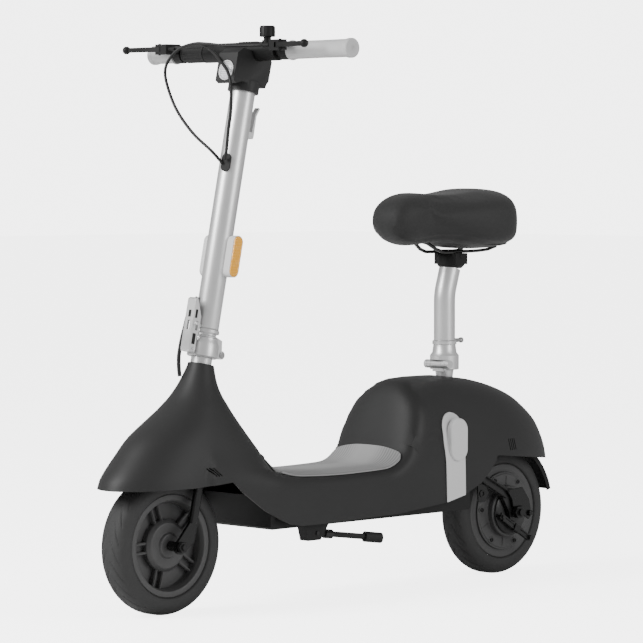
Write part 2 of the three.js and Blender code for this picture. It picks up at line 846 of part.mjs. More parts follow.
// Wheels turn about X. Their meshes are built round the origin.
const frontAxle = new THREE.Group();
frontAxle.position.set(0, 0, wheelRadius);
const rearAxle = new THREE.Group();
rearAxle.position.set(0, wheelbase, wheelRadius);

// The bar frame lies level at the middle of the handlebar
const barFrame = new THREE.Group();
barFrame.position.set(0, axisAt(barHeight) + barBack, barHeight);

const scooter = new THREE.Group();
scooter.add(steering, frontAxle, rearAxle, barFrame);

function piece(name, geometry, material, parent = scooter) {
  const mesh = new THREE.Mesh(geometry, material);
  mesh.name = name;
  parent.add(mesh);
  return mesh;
}

// Tyre section, half of it mirrored: [share of half width, radius]
function tyre() {
  const bead = rimRadius + gap;
  const side = [
    [treadFlat, wheelRadius], [tyreHalfWidth * 0.58, wheelRadius - 2],
    [tyreHalfWidth * 0.81, wheelRadius - 6.5], [tyreHalfWidth * 0.97, wheelRadius - 15],
    [tyreHalfWidth, wheelRadius - 23], [tyreHalfWidth * 0.94, wheelRadius - 31],
    [rimHalfWidth - rimLip, bead],
  ];
  const outer = [...side.map(([x, r]) => [r, x]), ...[...side].reverse().map(([x, r]) => [r, -x])];
  return turnedX([...outer, outer[0]], wheelSegments);
}

// Rim: a flanged ring, joined to whatever fills the wheel's middle
function rimRing() {
  const [r, w] = [rimRadius, rimHalfWidth];
  return turnedX([
    [r - rimWall - 6, -w], [r, -w], [r, w], [r - rimWall - 6, w],
    [r - rimWall - 10, w - 9], [r - rimWall - 10, -w + 9], [r - rimWall - 6, -w]], wheelSegments);
}

function frontWheel() {
  const dish = frontHubHalfWidth - frontDishDepth;
  const hub = turnedX([
    [axleRadius + 2 * gap, -frontHubHalfWidth], [frontBossRadius + 4, -frontHubHalfWidth],
    [frontBossRadius + 6, -dish], [frontHubRadius - 7, -dish], [frontHubRadius, -dish + 7],
    [frontHubRadius, dish - 7], [frontHubRadius - 7, dish], [frontBossRadius + 6, dish],
    [frontBossRadius + 4, frontHubHalfWidth], [axleRadius + 2 * gap, frontHubHalfWidth],
    [axleRadius + 2 * gap, -frontHubHalfWidth]], coverSegments);
  const web = turnedX([
    [frontHubRadius - 4, -frontWebHalf], [rimRadius - rimWall - 9, -frontWebHalf],
    [rimRadius - rimWall - 9, frontWebHalf], [frontHubRadius - 4, frontWebHalf],
    [frontHubRadius - 4, -frontWebHalf]], wheelSegments);
  let wheel = toSolid(join(rimRing(), web, hub));
  for (let i = 0; i < frontSpokeCount; i += 1) {
    const turn = (i / frontSpokeCount) * fullTurn + radians(20);
    const reach = rimRadius - rimWall - 9;
    const rib = (side) => block(-frontSpokeHalfDepth, frontSpokeHalfDepth,
      side - 2.5, side + 2.5, frontHubRadius - 4, reach);
    const face = block(-3, 3, -frontSpokeWidth / 2, frontSpokeWidth / 2, frontHubRadius - 4, reach);
    [face, rib(-frontSpokeWidth / 2), rib(frontSpokeWidth / 2)].forEach((part) => {
      wheel = wheel.add(toSolid(part.rotateX(turn)));
    });
  }
  return fromSolid(wheel);
}

const hexagon = (radius, from, to) => rodX(radius, from, to, 6);

function frontAxleSolid() {
  const outer = forkHalfSpan + bladeWidth / 2 + tabThickness / 2 + gap;
  return join(
    rodX(axleRadius, -outer - nutThickness - 4, outer + nutThickness + 4, 10),
    hexagon(nutRadius, outer, outer + nutThickness),
    hexagon(nutRadius, -outer - nutThickness, -outer),
    rodX(axleRadius + 3, frontHubHalfWidth + gap, outer - tabThickness - 2 * gap, 10),
    rodX(axleRadius + 3, -outer + tabThickness + 2 * gap, -frontHubHalfWidth - gap, 10));
}

// Fork: hollow steerer, crown, two flattened blades and the tabs that hold the axle
function forkBlade() {
  const outline = roundedOutline(0, 0, bladeWidth / 2, bladeDepth / 2, bladeWidth / 2);
  const tip = axleUp + 22;
  const height = forkCrownHeight - tip;
  const blade = prismZ(outline, 0, height, 3);
  const shift = (axleBack * 0.3 + bladeForward);
  const p = blade.getAttribute('position');
  for (let i = 0; i < p.count; i += 1) {
    const low = 1 - p.getZ(i) / height;
    p.setY(i, p.getY(i) * (1 - 0.2 * low) + shift * low);
  }
  return blade.translate(forkHalfSpan, 0, tip);
}

function forkTab() {
  const tab = new THREE.Shape();
  const [r, top] = [nutRadius + 3, axleUp + 46];
  tab.moveTo(axleBack - r, axleUp);
  tab.absarc(axleBack, axleUp, r, Math.PI, Math.PI * 1.85);
  tab.lineTo(axleBack + tabWidth, axleUp + 12);
  tab.lineTo(axleBack + tabWidth + 2, top);
  tab.lineTo(axleBack + tabWidth - bladeDepth * 0.8, top);
  const hole = new THREE.Path();
  hole.absarc(axleBack, axleUp, axleRadius + gap, 0, fullTurn);
  tab.holes.push(hole);
  const outside = forkHalfSpan + bladeWidth / 2 + tabThickness / 2;
  return prismX(tab, outside - tabThickness, outside, 6);
}

function frontFork() {
  const crown = prismZ(roundedOutline(0, 0, forkHalfSpan + bladeWidth / 2, forkCrownDepth / 2,
    forkCrownDepth / 2), forkCrownHeight, forkCrownHeight + forkCrownThickness, 4);
  const [blade, tab] = [forkBlade(), forkTab()];
  const body = join(rod(steererRadius, forkCrownHeight, collarFoot - gap, 16),
    rod(headRingRadius, forkCrownHeight, headTubeFoot - lowerRingHeight - 2 * gap, 16),
    crown, blade, tab, mirrored(blade), mirrored(tab));
  return cut(body, rod(steererBore, forkCrownHeight - overrun, collarFoot + overrun, 12));
}

// Fold joint, base half: cup on the steerer, two knuckles behind, a lug in front for the latch
function foldBase() {
  const top = collarFoot + collarHeight;
  const cup = turned([
    [0, collarFoot], [collarRadius - 2, collarFoot], [collarRadius, collarFoot + 2],
    [collarRadius, top - 12], [collarMouth + 1.5, top - 7], [collarMouth, top], [0, top]], 22);
  const knuckle = join(rodX(knuckleRadius, knuckleLug / 2 + gap, knuckleWidth, 12)
    .translate(0, foldPivotBack, foldPivotHeight),
  block(knuckleLug / 2 + gap, knuckleWidth, collarRadius * 0.5, foldPivotBack,
    foldPivotHeight - knuckleRadius, foldPivotHeight + knuckleRadius));
  const lugHalf = latchHalfWidth - latchWall - gap;
  const lug = join(block(-lugHalf, lugHalf, -latchPivotFront, -collarMouth * 0.5,
    latchPivotHeight - 6, latchPivotHeight + 6),
  rodX(6, -lugHalf, lugHalf, 12).translate(0, -latchPivotFront, latchPivotHeight));
  return cut(join(cup, knuckle, mirrored(knuckle), lug),
    rod(steererBore, collarFoot - overrun, top + overrun, 12),
    rodX(foldPinRadius + gap, -knuckleWidth - overrun, knuckleWidth + overrun, 12)
      .translate(0, foldPivotBack, foldPivotHeight),
    rodX(latchPinRadius + gap, -lugHalf - overrun, lugHalf + overrun, 12)
      .translate(0, -latchPivotFront, latchPivotHeight),
    block(-knuckleLug / 2 - gap, knuckleLug / 2 + gap, foldPivotBack - knuckleRadius - 1,
      foldPivotBack + knuckleRadius + overrun, foldPivotHeight - knuckleRadius - overrun, top + overrun));
}

function foldPin() {
  const half = knuckleWidth + gap;
  return join(rodX(foldPinRadius, -half, half, 12), rodX(foldPinRadius + 2.5, half, half + 2.5, 12),
    rodX(foldPinRadius + 2.5, -half - 2.5, -half, 12));
}

// Fold joint, upper half: waist and flange under the tube, with the hinge lug behind
function foldCollar() {
  const foot = collarFoot + collarHeight + seam;
  const waist = foot + waistHeight;
  const body = turned([
    [0, foot], [waistRadius + 3, foot], [waistRadius + 3, foot + 2], [waistRadius, foot + 4],
    [waistRadius, waist - 2], [flangeRadius, waist], [flangeRadius, waist + flangeHeight - 2],
    [flangeRadius - 1.5, waist + flangeHeight], [0, waist + flangeHeight]], 22);
  const lug = join(
    rodX(knuckleRadius, -knuckleLug / 2, knuckleLug / 2, 12)
      .translate(0, foldPivotBack, foldPivotHeight),
    prismX(shapeOf([
      [foldPivotBack - knuckleRadius, foldPivotHeight], [foldPivotBack + knuckleRadius, foldPivotHeight],
      [foldPivotBack + knuckleRadius * 0.4, foot + 1], [waistRadius * 0.5, waist],
      [waistRadius * 0.5, foot], [foldPivotBack - knuckleRadius, foot]]),
    -knuckleLug / 2, knuckleLug / 2));
  return cut(join(body, lug), rodX(foldPinRadius + gap, -knuckleWidth, knuckleWidth, 12)
    .translate(0, foldPivotBack, foldPivotHeight));
}

// Latch lever: a channel that leans on the joint, hinged at its foot
function latchLever() {
  const [top, foot] = [latchPivotHeight + latchLength, latchPivotHeight - 6];
  const cheek = latchFront - latchCheekDepth;
  const outline = shapeOf([
    [-latchFront + 2, foot], [-latchPivotFront + 5, foot], [-latchPivotFront + 7, foot + 6],
    [-collarRadius - 1, foot + 10], [-collarRadius - 1, foot + 26], [-cheek, foot + 38],
    [-cheek, foot + latchLength * 0.72], [-latchFront + 12, top - 16],
    [-latchFront + 7, top - 4], [-latchFront + 4, top], [-latchFront, top - 3],
    [-latchFront, foot + 4]]);
  const groove = shapeOf([
    [-latchFront + latchWall, foot - overrun], [0, foot - overrun],
    [0, top - 14], [-latchFront + latchWall, top - 14]]);
  const body = cut(prismX(outline, -latchHalfWidth, latchHalfWidth),
    prismX(groove, -latchHalfWidth + latchWall, latchHalfWidth - latchWall),
    block(-latchSlotWidth / 2, latchSlotWidth / 2, -latchFront - overrun, -latchFront + overrun,
      foot + latchSlotRise, foot + latchSlotRise + latchSlotLength),
    block(-latchHalfWidth - overrun, latchHalfWidth + overrun, -latchFront + latchSlotWidth * 1.5,
      -latchFront + latchSlotWidth * 2.4, foot + latchSlotRise, foot + latchSlotRise + latchSlotLength));
  const pin = rodX(latchPinRadius, -latchHalfWidth - 1.5, latchHalfWidth + 1.5, 12)
    .translate(0, -latchPivotFront, latchPivotHeight);
  const catchNub = rodX(3, latchHalfWidth - 1, latchHalfWidth + 7, 10)
    .translate(0, -latchFront + 6, foot + latchSlotRise + latchSlotLength * 0.7);
  return join(body, pin, catchNub);
}

function stemTube() {
  const foot = collarFoot + collarHeight + seam + waistHeight + flangeHeight + gap;
  const skin = pipe(stemRadius, stemRadius - stemWall, foot, stemTop, 26);
  const port = prismY(roundedOutline(0, 0, 6, 14, 6), -stemRadius - overrun, -stemRadius + overrun, 5)
    .rotateZ(radians(grommetTurn)).translate(0, 0, grommetHeight);
  return cut(skin, port);
}

// Rubber grommet where the cables enter the stem
function grommet() {
  const ring = prismY(roundedOutline(0, 0, 9, 17, 9), -stemRadius - 2.4, -stemRadius + 10, 3);
  const plug = prismY(roundedOutline(0, 0, 6 - gap, 14 - gap, 6), -stemRadius - 1.2, -stemRadius + 6, 3);
  const place = (g) => g.rotateZ(radians(grommetTurn)).translate(0, 0, grommetHeight);
  return join(cut(place(ring), rod(stemRadius + gap, grommetHeight - 40, grommetHeight + 40, 26)),
    place(plug));
}

// Reflector on the side of the stem: an oval frame with a raised lens
function reflectorFrame() {
  const outline = roundedOutline(reflectorBack, reflectorHeight, reflectorHalfWidth,
    reflectorLength / 2, reflectorHalfWidth);
  const recess = roundedOutline(reflectorBack, reflectorHeight, reflectorLensHalfWidth + gap,
    reflectorLensLength / 2 + gap, reflectorLensHalfWidth);
  const face = stemRadius + reflectorThickness;
  return cut(prismX(outline, stemRadius - 8, face, 3), prismX(recess, face - 3, face + overrun, 3),
    rod(stemRadius + gap, reflectorHeight - reflectorLength,
      reflectorHeight + reflectorLength, 26));
}

function reflectorLens() {
  const outline = roundedOutline(reflectorBack, reflectorHeight, reflectorLensHalfWidth,
    reflectorLensLength / 2, reflectorLensHalfWidth);
  const face = stemRadius + reflectorThickness;
  return prismX(outline, face - 3 + gap, face + reflectorLensRise, 3);
}

// Bag hook behind the stem: fixed base and folding hook
function stemHook() {
  const width = hookHalfWidth - 3;
  const back = stemRadius + hookStandOff;
  const base = block(-hookHalfWidth, hookHalfWidth, stemRadius * 0.6, back, hookHeight - 9, hookHeight + 3);
  const arm = prismX(shapeOf([
    [back - 3, hookHeight - 5], [back, hookHeight - 8.5], [back + 3.5, hookHeight - 5],
    [back + 3, hookHeight + hookLength * 0.7], [back + 9, hookHeight + hookLength],
    [back + 6, hookHeight + hookLength + 2], [back - 0.5, hookHeight + hookLength * 0.74]]),
  -width, width);
  return join(cut(base, rod(stemRadius + gap, hookHeight - 40, hookHeight + 40, 26)), arm);
}

// Head housing: box that carries the bar and the headlight, on a sleeve round the tube
function headHousing() {
  const barH = (barHeight - wheelRadius) / cosRake + barBack * sinRake;
  const side = shapeOf([
    [-housingFront, barH - 14], [-housingFront, barH - housingDrop + 4],
    [-housingFront + 8, barH - housingDrop], [-sleeveRadius, housingFoot - 2],
    [sleeveRadius + 2, housingFoot - 2], [housingBack - 4, housingFoot + 6],
    [housingBack, housingFoot + 12], [housingBack + 1, barH - 12],
    [housingBack - 8, barH - 2], [-housingFront + 14, barH - 2]]);
  const box = prismX(side, -housingHalfWidth, housingHalfWidth);
  const sleeve = rod(sleeveRadius, sleeveFoot, housingFoot + 4, 22);
  const lensAt = barH - lensDrop;
  const lensSeat = rod(bezelRadius + gap, -overrun, bezelDepth, 22).rotateX(-Math.PI / 2)
    .translate(0, -housingFront, lensAt);
  const neck = rod(stemRadius + gap, sleeveFoot - overrun, stemTop + gap, 26);
  const barSeat = rodX(barCoverRadius + gap, -barCoverRight - overrun, barCoverRight + overrun, 22)
    .translate(0, barBack * cosRake, barH);
  return { body: cut(join(box, sleeve), lensSeat, neck, barSeat), lensAt, barH };
}

function headBezel(lensAt) {
  const ring = turnedY([
    [lensRadius + gap, -1], [bezelRadius, -1], [bezelRadius, bezelDepth - gap],
    [lensRadius - 4, bezelDepth - gap], [lensRadius - 4, bezelDepth - 1.8],
    [lensRadius + gap, bezelDepth - 1.8], [lensRadius + gap, -1]], 22);
  return ring.translate(0, -housingFront, lensAt);
}

function headLens(lensAt) {
  return turnedY([
    [0, -lensDome + 1], [lensRadius * 0.5, -lensDome + 1.8], [lensRadius * 0.85, -lensDome + 3.4],
    [lensRadius, -0.5], [lensRadius, bezelDepth - 1.8 - gap], [0, bezelDepth - 1.8 - gap]], 22)
    .translate(0, -housingFront, lensAt);
}

// Handlebar pieces, built round the bar's own axis
function handlebar() {
  return pipeX(barRadius, barRadius - 2.2, -barHalfLength, barHalfLength, 20);
}

function barCover() {
  return pipeX(barCoverRadius, barRadius + gap, -barCoverRight, barCoverLeft, 24);
}

function coverWithFlat() {
  const flat = block(-displayHalfWidth - 2, displayHalfWidth * 0.72, -barCoverRadius, barCoverRadius,
    displayFlat, barCoverRadius + overrun).rotateX(-radians(displayTilt));
  return cut(barCover(), flat);
}

function displayGlass() {
  const chord = Math.sqrt(barCoverRadius ** 2 - displayFlat ** 2) - 1;
  return prismZ(roundedOutline(-displayHalfWidth * 0.14 - 1, 0, displayHalfWidth * 0.82, chord, 4),
    displayFlat + gap, displayFlat + displayThickness, 5).rotateX(-radians(displayTilt));
}

function grip(start) {
  const flat = 1.5;
  return turnedX([
    [barRadius + gap, start], [gripRadius + 2, start], [gripRadius + 2, start + 4],
    [gripRadius, start + 6], [gripRadius, gripEnd - 12], [gripEndRing, gripEnd - 10],
    [gripEndRing, gripEnd - 2], [gripEndRing - flat, gripEnd], [0, gripEnd],
    [0, barHalfLength + gap], [barRadius + gap, barHalfLength + gap], [barRadius + gap, start]], 18);
}

// Lever perch: a clamp round the bar, a forked arm for the lever and the cable adjuster. It is
// built with its outer side towards +X.
function perch() {
  const half = clampWidth / 2;
  const [out, ahead] = [leverPivotOut, leverPivotAhead];
  const ring = pipeX(clampRadius, barRadius + gap, -half, half, 16);
  const arm = prismZ(shapeOf([
    [-half, -barRadius - 1], [-half, -ahead + 4], [-half + 6, -ahead - 6], [out + 4, -ahead - 8],
    [out + 9, -ahead - 2], [out + 9, -ahead + 8], [half + 0.6, -gripRadius - 6], [half, -barRadius - 3],
    [half, -barRadius - 1]]),
  perchLift - perchThickness / 2, perchLift + perchThickness / 2);
  const slot = block(out - 9, out + 40, -ahead - 20, -ahead + 12,
    perchLift - leverThickness / 2 - gap, perchLift + leverThickness / 2 + gap);
  const hole = rod(leverPinRadius + gap, perchLift - perchThickness, perchLift + perchThickness, 10)
    .translate(out, -ahead, 0);
  const adjuster = rodX(adjusterRadius, -half - adjusterLength, -half + 2, 12)
    .translate(0, -ahead, perchLift);
  const bore = rodX(barRadius + gap, -half - overrun, out * 3, 16);
  return cut(join(ring, arm, adjuster), slot, hole, bore);
}

// Brake lever: a tapering blade with a ball at its end, on its own pin
function brakeLever() {
  const blade = new THREE.Shape();
  const [px, py] = [leverPivotOut, -leverPivotAhead];
  const [ex, ey] = [px + leverTurnOut, py - leverTurnAhead];
  blade.moveTo(px - 6, py - 6);
  blade.quadraticCurveTo(px + leverTurnOut * 0.3, py - 17, ex - 26, ey + 1);
  blade.lineTo(ex, ey - 3);
  blade.lineTo(ex, ey + 3);
  blade.quadraticCurveTo(px + leverTurnOut * 0.35, py - 6, px + 8, py + 5);
  blade.lineTo(px - 6, py + 6);
  const ball = new THREE.SphereGeometry(leverBall, 10, 7).translate(ex, ey, 0);
  const pin = rod(leverPinRadius, -perchThickness / 2 - 1.5, perchThickness / 2 + 1.5, 10)
    .translate(px, py, 0);
  const half = leverThickness / 2;
  return join(prismZ(blade, -half, half, 5), ball, pin).translate(0, 0, perchLift);
}

function throttle() {
  const ribs = 8;
  const core = pipeX(throttleRadius - 1.2, barRadius + gap, -throttleEnd, -throttleStart, 16);
  const parts = [];
  for (let i = 0; i < ribs; i += 1) {
    parts.push(block(-throttleEnd + 6, -throttleStart - 6, -2, 2, throttleRadius - 3, throttleRadius)
      .rotateX((i / ribs) * fullTurn));
  }
  const collar = pipeX(throttleRadius + 1, barRadius + gap, -throttleStart - 6, -throttleStart, 16);
  return join(core, collar, ...parts);
}

// Bell: fixed base on the bar cover and a fluted cap that turns
function bellBase() {
  const post = rod(bellBaseRadius, barCoverRadius * 0.6, barCoverRadius + bellSeat, 20)
    .translate(bellAt, 0, 0);
  return cut(post, rodX(barRadius + gap, -barCoverRight, barCoverLeft + overrun, 26));
}

function bellCap() {
  const foot = barCoverRadius + bellSeat + gap;
  const profile = [[0, foot], [bellStemRadius, foot], [bellStemRadius, foot + bellStemHeight],
    [bellRadius - 1, foot + bellStemHeight], [bellRadius, foot + bellStemHeight + 1],
    [bellRadius, foot + bellStemHeight + bellCapHeight - 3],
    [bellRadius - 2, foot + bellStemHeight + bellCapHeight], [0, foot + bellStemHeight + bellCapHeight]];
  const flutes = [];
  for (let i = 0; i < bellFlutes; i += 1) {
    const turn = (i / bellFlutes) * fullTurn;
    flutes.push(rod(fluteRadius, foot + bellStemHeight - 1, foot + bellStemHeight + bellCapHeight + 1, 6)
      .translate((bellRadius + 0.4) * Math.cos(turn), (bellRadius + 0.4) * Math.sin(turn), 0));
  }
  return cut(turned(profile, 18), ...flutes).translate(bellAt, 0, 0);
}

// Frame: head tube, down tube, floor beam, mast, rear arms and dropouts, welded into one
function mainFrame() {
  const onAxis = (v, h) => [0, axisSetback + v * cosRake + h * sinRake,
    wheelRadius - v * sinRake + h * cosRake];
  const tilt = (g) => g.rotateX(-radians(rake)).translate(0, axisSetback, wheelRadius);
  const head = tilt(rod(headTubeRadius, headTubeFoot, headTubeFoot + headTubeHeight, 18));
  const downTube = bar(onAxis(4, headTubeFoot + 40), [0, beamFront + 30, beamFoot + beamHeight * 0.42],
    downTubeRadius);
  const beam = block(-beamHalfWidth, beamHalfWidth, beamFront + 20, beamBack, beamFoot,
    beamFoot + beamHeight);
  const mast = rod(mastRadius, beamFoot, mastTop, 18).translate(0, mastAt, 0);
  const cross = rodX(crossTubeRadius, -armInner - armThickness, armInner + armThickness, 16)
    .translate(0, armFrontAt, armFrontHeight);
  const arm = rearArm();
  const body = join(head, downTube, beam, mast, cross, arm, mirrored(arm));
  return cut(body, tilt(rod(headTubeRadius - headTubeWall, headTubeFoot - overrun,
    headTubeFoot + headTubeHeight + overrun, 18)),
  rod(mastRadius - mastWall, beamFoot + beamHeight, mastTop + overrun, 16).translate(0, mastAt, 0));
}

function rearArm() {
  const half = armDepth / 2;
  const [ex, ez] = [wheelbase, wheelRadius];
  const reach = Math.hypot(armKneeAt - armFrontAt, armKneeHeight - armFrontHeight);
  const slope = [(armKneeAt - armFrontAt) / reach, (armKneeHeight - armFrontHeight) / reach];
  const side = [-slope[1] * half, slope[0] * half];
  const outline = shapeOf([
    [armFrontAt - side[0], armFrontHeight - side[1]],
    [armKneeAt - side[0] - 6, armKneeHeight - side[1]],
    [ex - dropoutRadius, ez + 4], [ex - dropoutRadius * 0.7, ez - dropoutRadius * 0.7],
    [ex, ez - dropoutRadius], [ex + dropoutRadius * 0.7, ez - dropoutRadius * 0.7],
    [ex + dropoutRadius, ez], [ex + dropoutRadius + 4, ez + dropoutRadius],
    [armKneeAt + side[0] + 16, armKneeHeight + side[1] - 2],
    [armFrontAt + side[0], armFrontHeight + side[1]]]);
  const plate = prismX(outline, armInner, armInner + armThickness);
  return cut(plate, rodX(rearAxleRadius + gap, armInner - overrun, armInner + armThickness + overrun, 16)
    .translate(0, ex, ez));
}

// Rear wheel: hub motor in the rim, its screwed covers, and the brake drum on the left
function rearMotor() {
  const [c, r] = [motorCoverAt - 6, motorRadius];
  const core = turnedX([
    [rearAxleRadius + 1, -c], [r, -c], [r, c], [rearAxleRadius + 1, c], [rearAxleRadius + 1, -c]], wheelSegments);
  return join(rimRing(), core);
}

function motorCover(hubRadius, hubFace) {
  const from = motorCoverAt - 6 + gap;
  const face = motorCoverAt;
  let cover = turnedX([
    [rearAxleRadius + 1, from], [motorRadius - 2, from], [motorRadius - 2, face - 1.5],
    [motorRadius - 4, face], [hubRadius + 2, face], [hubRadius, face + 2],
    [hubRadius, hubFace - 2], [hubRadius - 2, hubFace], [rearAxleRadius + 1, hubFace],
    [rearAxleRadius + 1, from]], coverSegments);
  const heads = [];
  for (let i = 0; i < coverScrews; i += 1) {
    heads.push(rodX(screwHeadRadius, face - 3, face + 2.2, 8).translate(0, 0, screwCircle)
      .rotateX((i / coverScrews) * fullTurn + radians(25)));
  }
  cover = join(cover, ...heads);
  return cover;
}

function brakePlate() {
  const from = drumFace + gap;
  const plate = turnedX([
    [rearAxleRadius + gap, from], [brakePlateRadius, from],
    [brakePlateRadius, from + brakePlateThickness - 2],
    [brakePlateRadius - 3, from + brakePlateThickness],
    [rearAxleRadius + gap, from + brakePlateThickness], [rearAxleRadius + gap, from]], 22);
  return plate;
}

function rearAxleSolid() {
  const arm = armInner + armThickness + armWasher + 2 * gap;
  const drumSide = drumFace + brakePlateThickness + 2 * gap;
  return join(
    rodX(rearAxleRadius, -rearAxleHalf - nutThickness, rearAxleHalf + nutThickness, 12),
    hexagon(rearNutRadius, arm, arm + nutThickness + 2),
    hexagon(rearNutRadius, -arm - nutThickness - 2, -arm),
    rodX(rearAxleRadius + 4, drumSide, armInner - gap, 12),
    rodX(rearAxleRadius + 4, -armInner + gap, -bossFace - gap, 12));
}

// Mudguard: an arched strip over the rear wheel, ending in a flap
function mudguard() {
  const shape = new THREE.Shape();
  const [a, b] = [radians(guardStart), radians(guardEnd)];
  shape.absarc(0, 0, guardRadius + guardWall, a, b, false);
  shape.absarc(0, 0, guardRadius, b, a, true);
  const strip = prismX(shape, -guardHalfWidth, guardHalfWidth, 9);
  const lip = new THREE.Shape();
  lip.absarc(0, 0, guardRadius + guardWall, a, b, false);
  lip.absarc(0, 0, guardRadius - 8, b, a, true);
  const side = prismX(lip, guardHalfWidth - guardWall, guardHalfWidth, 9);
  return join(strip, side, mirrored(side)).translate(0, wheelbase, wheelRadius);
}

// Belly tray under the floor, open at the top
function bellyPan() {
  const side = shapeOf([[bellyFront, bellyFoot + 4], [bellyFront + 4, bellyFoot],
    [bellyBack - 4, bellyFoot], [bellyBack, bellyFoot + 4], [bellyBack, bellyTop],
    [bellyFront, bellyTop]]);
  const outer = prismX(side, -bellyHalfWidth, bellyHalfWidth);
  const inner = block(-bellyHalfWidth + bellyWall, bellyHalfWidth - bellyWall,
    bellyFront + bellyWall, bellyBack - bellyWall, bellyFoot + bellyWall, bellyTop + overrun);
  const rim = block(-bellyFlange, bellyFlange, bellyFront + 40, bellyBack - 30,
    bellyTop - bellyWall, bellyTop);
  const wall = block(-bellyHalfWidth, bellyHalfWidth, bellyFront, bellyFront + bellyWall,
    bellyFoot + overrun, bellyWallTop);
  return join(cut(join(outer, rim), inner), wall, standBracket());
}

function batteryPack() {
  const outline = roundedOutline(0, (batteryFront + batteryBack) / 2, batteryHalfWidth,
    (batteryBack - batteryFront) / 2, batteryEdge);
  const foot = bellyFoot + bellyWall + gap;
  return prismZ(outline, foot, foot + batteryHeight, 4);
}

function controllerBox() {
  const foot = bellyFoot + bellyWall + gap;
  const body = block(-controllerHalfWidth, controllerHalfWidth, controllerFront,
    controllerFront + controllerLength, foot, foot + controllerHeight - 8);
  const fins = [];
  for (let i = 0; i < 7; i += 1) {
    const x = -controllerHalfWidth + 4 + i * 12;
    fins.push(block(x, x + 4, controllerFront, controllerFront + controllerLength,
      foot + controllerHeight - 10, foot + controllerHeight));
  }
  return join(body, ...fins);
}

// Seat hinge: a cone on the mast with a central knuckle, a cup on the post with two side
// knuckles, and a pin with capped ends across the front
function seatBase() {
  const foot = mastTop + gap;
  const top = foot + coneHeight;
  const pivotAt = seatAxisAt - barrelForward;
  const cone = turned([[0, foot], [coneFootRadius, foot], [coneTopRadius, top], [0, top]], 18)
    .translate(0, seatAxisAt, 0);
  const knuckle = rodX(barrelRadius, -seatLugHalf, seatLugHalf, 12).translate(0, pivotAt, barrelHeight);
  const web = block(-seatLugHalf, seatLugHalf, pivotAt - 2, pivotAt + barrelRadius + 1.5,
    top - 3, barrelHeight);
  return cut(join(cone, web, knuckle), rodX(seatPinRadius + gap, -seatLugHalf - 1, seatLugHalf + 1, 12)
    .translate(0, pivotAt, barrelHeight));
}

function seatPin() {
  const inner = barrelHalfLength - 7;
  const pin = join(rodX(seatPinRadius, -inner - 1, inner + 1, 14),
    rodX(barrelRadius, inner, barrelHalfLength, 16), rodX(barrelRadius, -barrelHalfLength, -inner, 16));
  return pin.translate(0, seatAxisAt - barrelForward, barrelHeight);
}

function seatCup() {
  const foot = cupFoot;
  const top = foot + cupHeight;
  const waist = top + seatWaistHeight;
  const flange = waist + seatFlangeHeight;
  const pivotAt = seatAxisAt - barrelForward;
  const cup = turned([
    [0, foot], [cupRadius - 1, foot], [cupRadius, foot + 1], [cupRadius, top - 6],
    [seatWaistRadius + 2, top], [seatWaistRadius, waist], [seatFlangeRadius, waist + 1],
    [seatFlangeRadius, flange - 2], [postRadius, flange], [0, flange]], 22).translate(0, seatAxisAt, 0);
  const reach = cupRadius + overrun;
  const notch = block(-reach, reach, seatAxisAt - reach, pivotAt, foot - overrun,
    barrelHeight + barrelRadius + gap);
  const slotFoot = block(-seatLugHalf - gap, seatLugHalf + gap, pivotAt - 1,
    pivotAt + barrelRadius + 2.5, foot - overrun, barrelHeight + barrelRadius + gap);
  const inner = barrelHalfLength - 7 - gap;
  const ears = rodX(barrelRadius, seatLugHalf + gap, inner, 12).translate(0, pivotAt, barrelHeight);
  const caps = rodX(barrelRadius + gap, inner, cupRadius + overrun, 12)
    .translate(0, pivotAt, barrelHeight);
  const body = join(cut(cup, notch, slotFoot, caps, mirrored(caps)), ears, mirrored(ears));
  return cut(body, rodX(seatPinRadius + gap, -inner - 1, inner + 1, 12)
    .translate(0, pivotAt, barrelHeight));
}

// Seat post: straight, then bent back under the saddle
const postFoot = cupFoot + cupHeight + seatWaistHeight + seatFlangeHeight + gap;

function postLoft(radius, below, above) {
  const bend = postFoot + postStraight;
  const [run, rise] = [postTopAt - seatAxisAt, postTopHeight - bend];
  const lean = Math.atan2(run, rise * 0.82);
  const ring = (along, z, tilt) => Array.from({ length: postSides }, (_, i) => {
    const turn = (i / postSides) * fullTurn;
    return [radius * Math.cos(turn), seatAxisAt + run * along + radius * Math.sin(turn) * Math.cos(tilt),
      z - radius * Math.sin(turn) * Math.sin(tilt)];
  });
  return loft([ring(0, postFoot - below, 0), ring(0, bend - 12, 0), ring(0.04, bend, lean * 0.35),
    ring(0.16, bend + rise * 0.2, lean * 0.8), ring(0.36, bend + rise * 0.4, lean),
    ring(1 + (above * 0.82) / rise, postTopHeight + above, lean)]);
}

const seatPost = () => cut(postLoft(postRadius, 0, 0), postLoft(postRadius - postWall, overrun, overrun));

// Spring peg that locks the folded seat post, behind the flange
function seatPeg() {
  const at = cupFoot + cupHeight + seatWaistHeight + seatFlangeHeight * 0.8;
  const peg = turnedY([[0, 0], [seatPegRadius, 0], [seatPegRadius, seatPegLength - 6],
    [seatPegRadius + 1.5, seatPegLength - 5], [seatPegRadius + 1.5, seatPegLength], [0, seatPegLength]], 10);
  return peg.translate(0, seatAxisAt + seatFlangeRadius + gap, at);
}

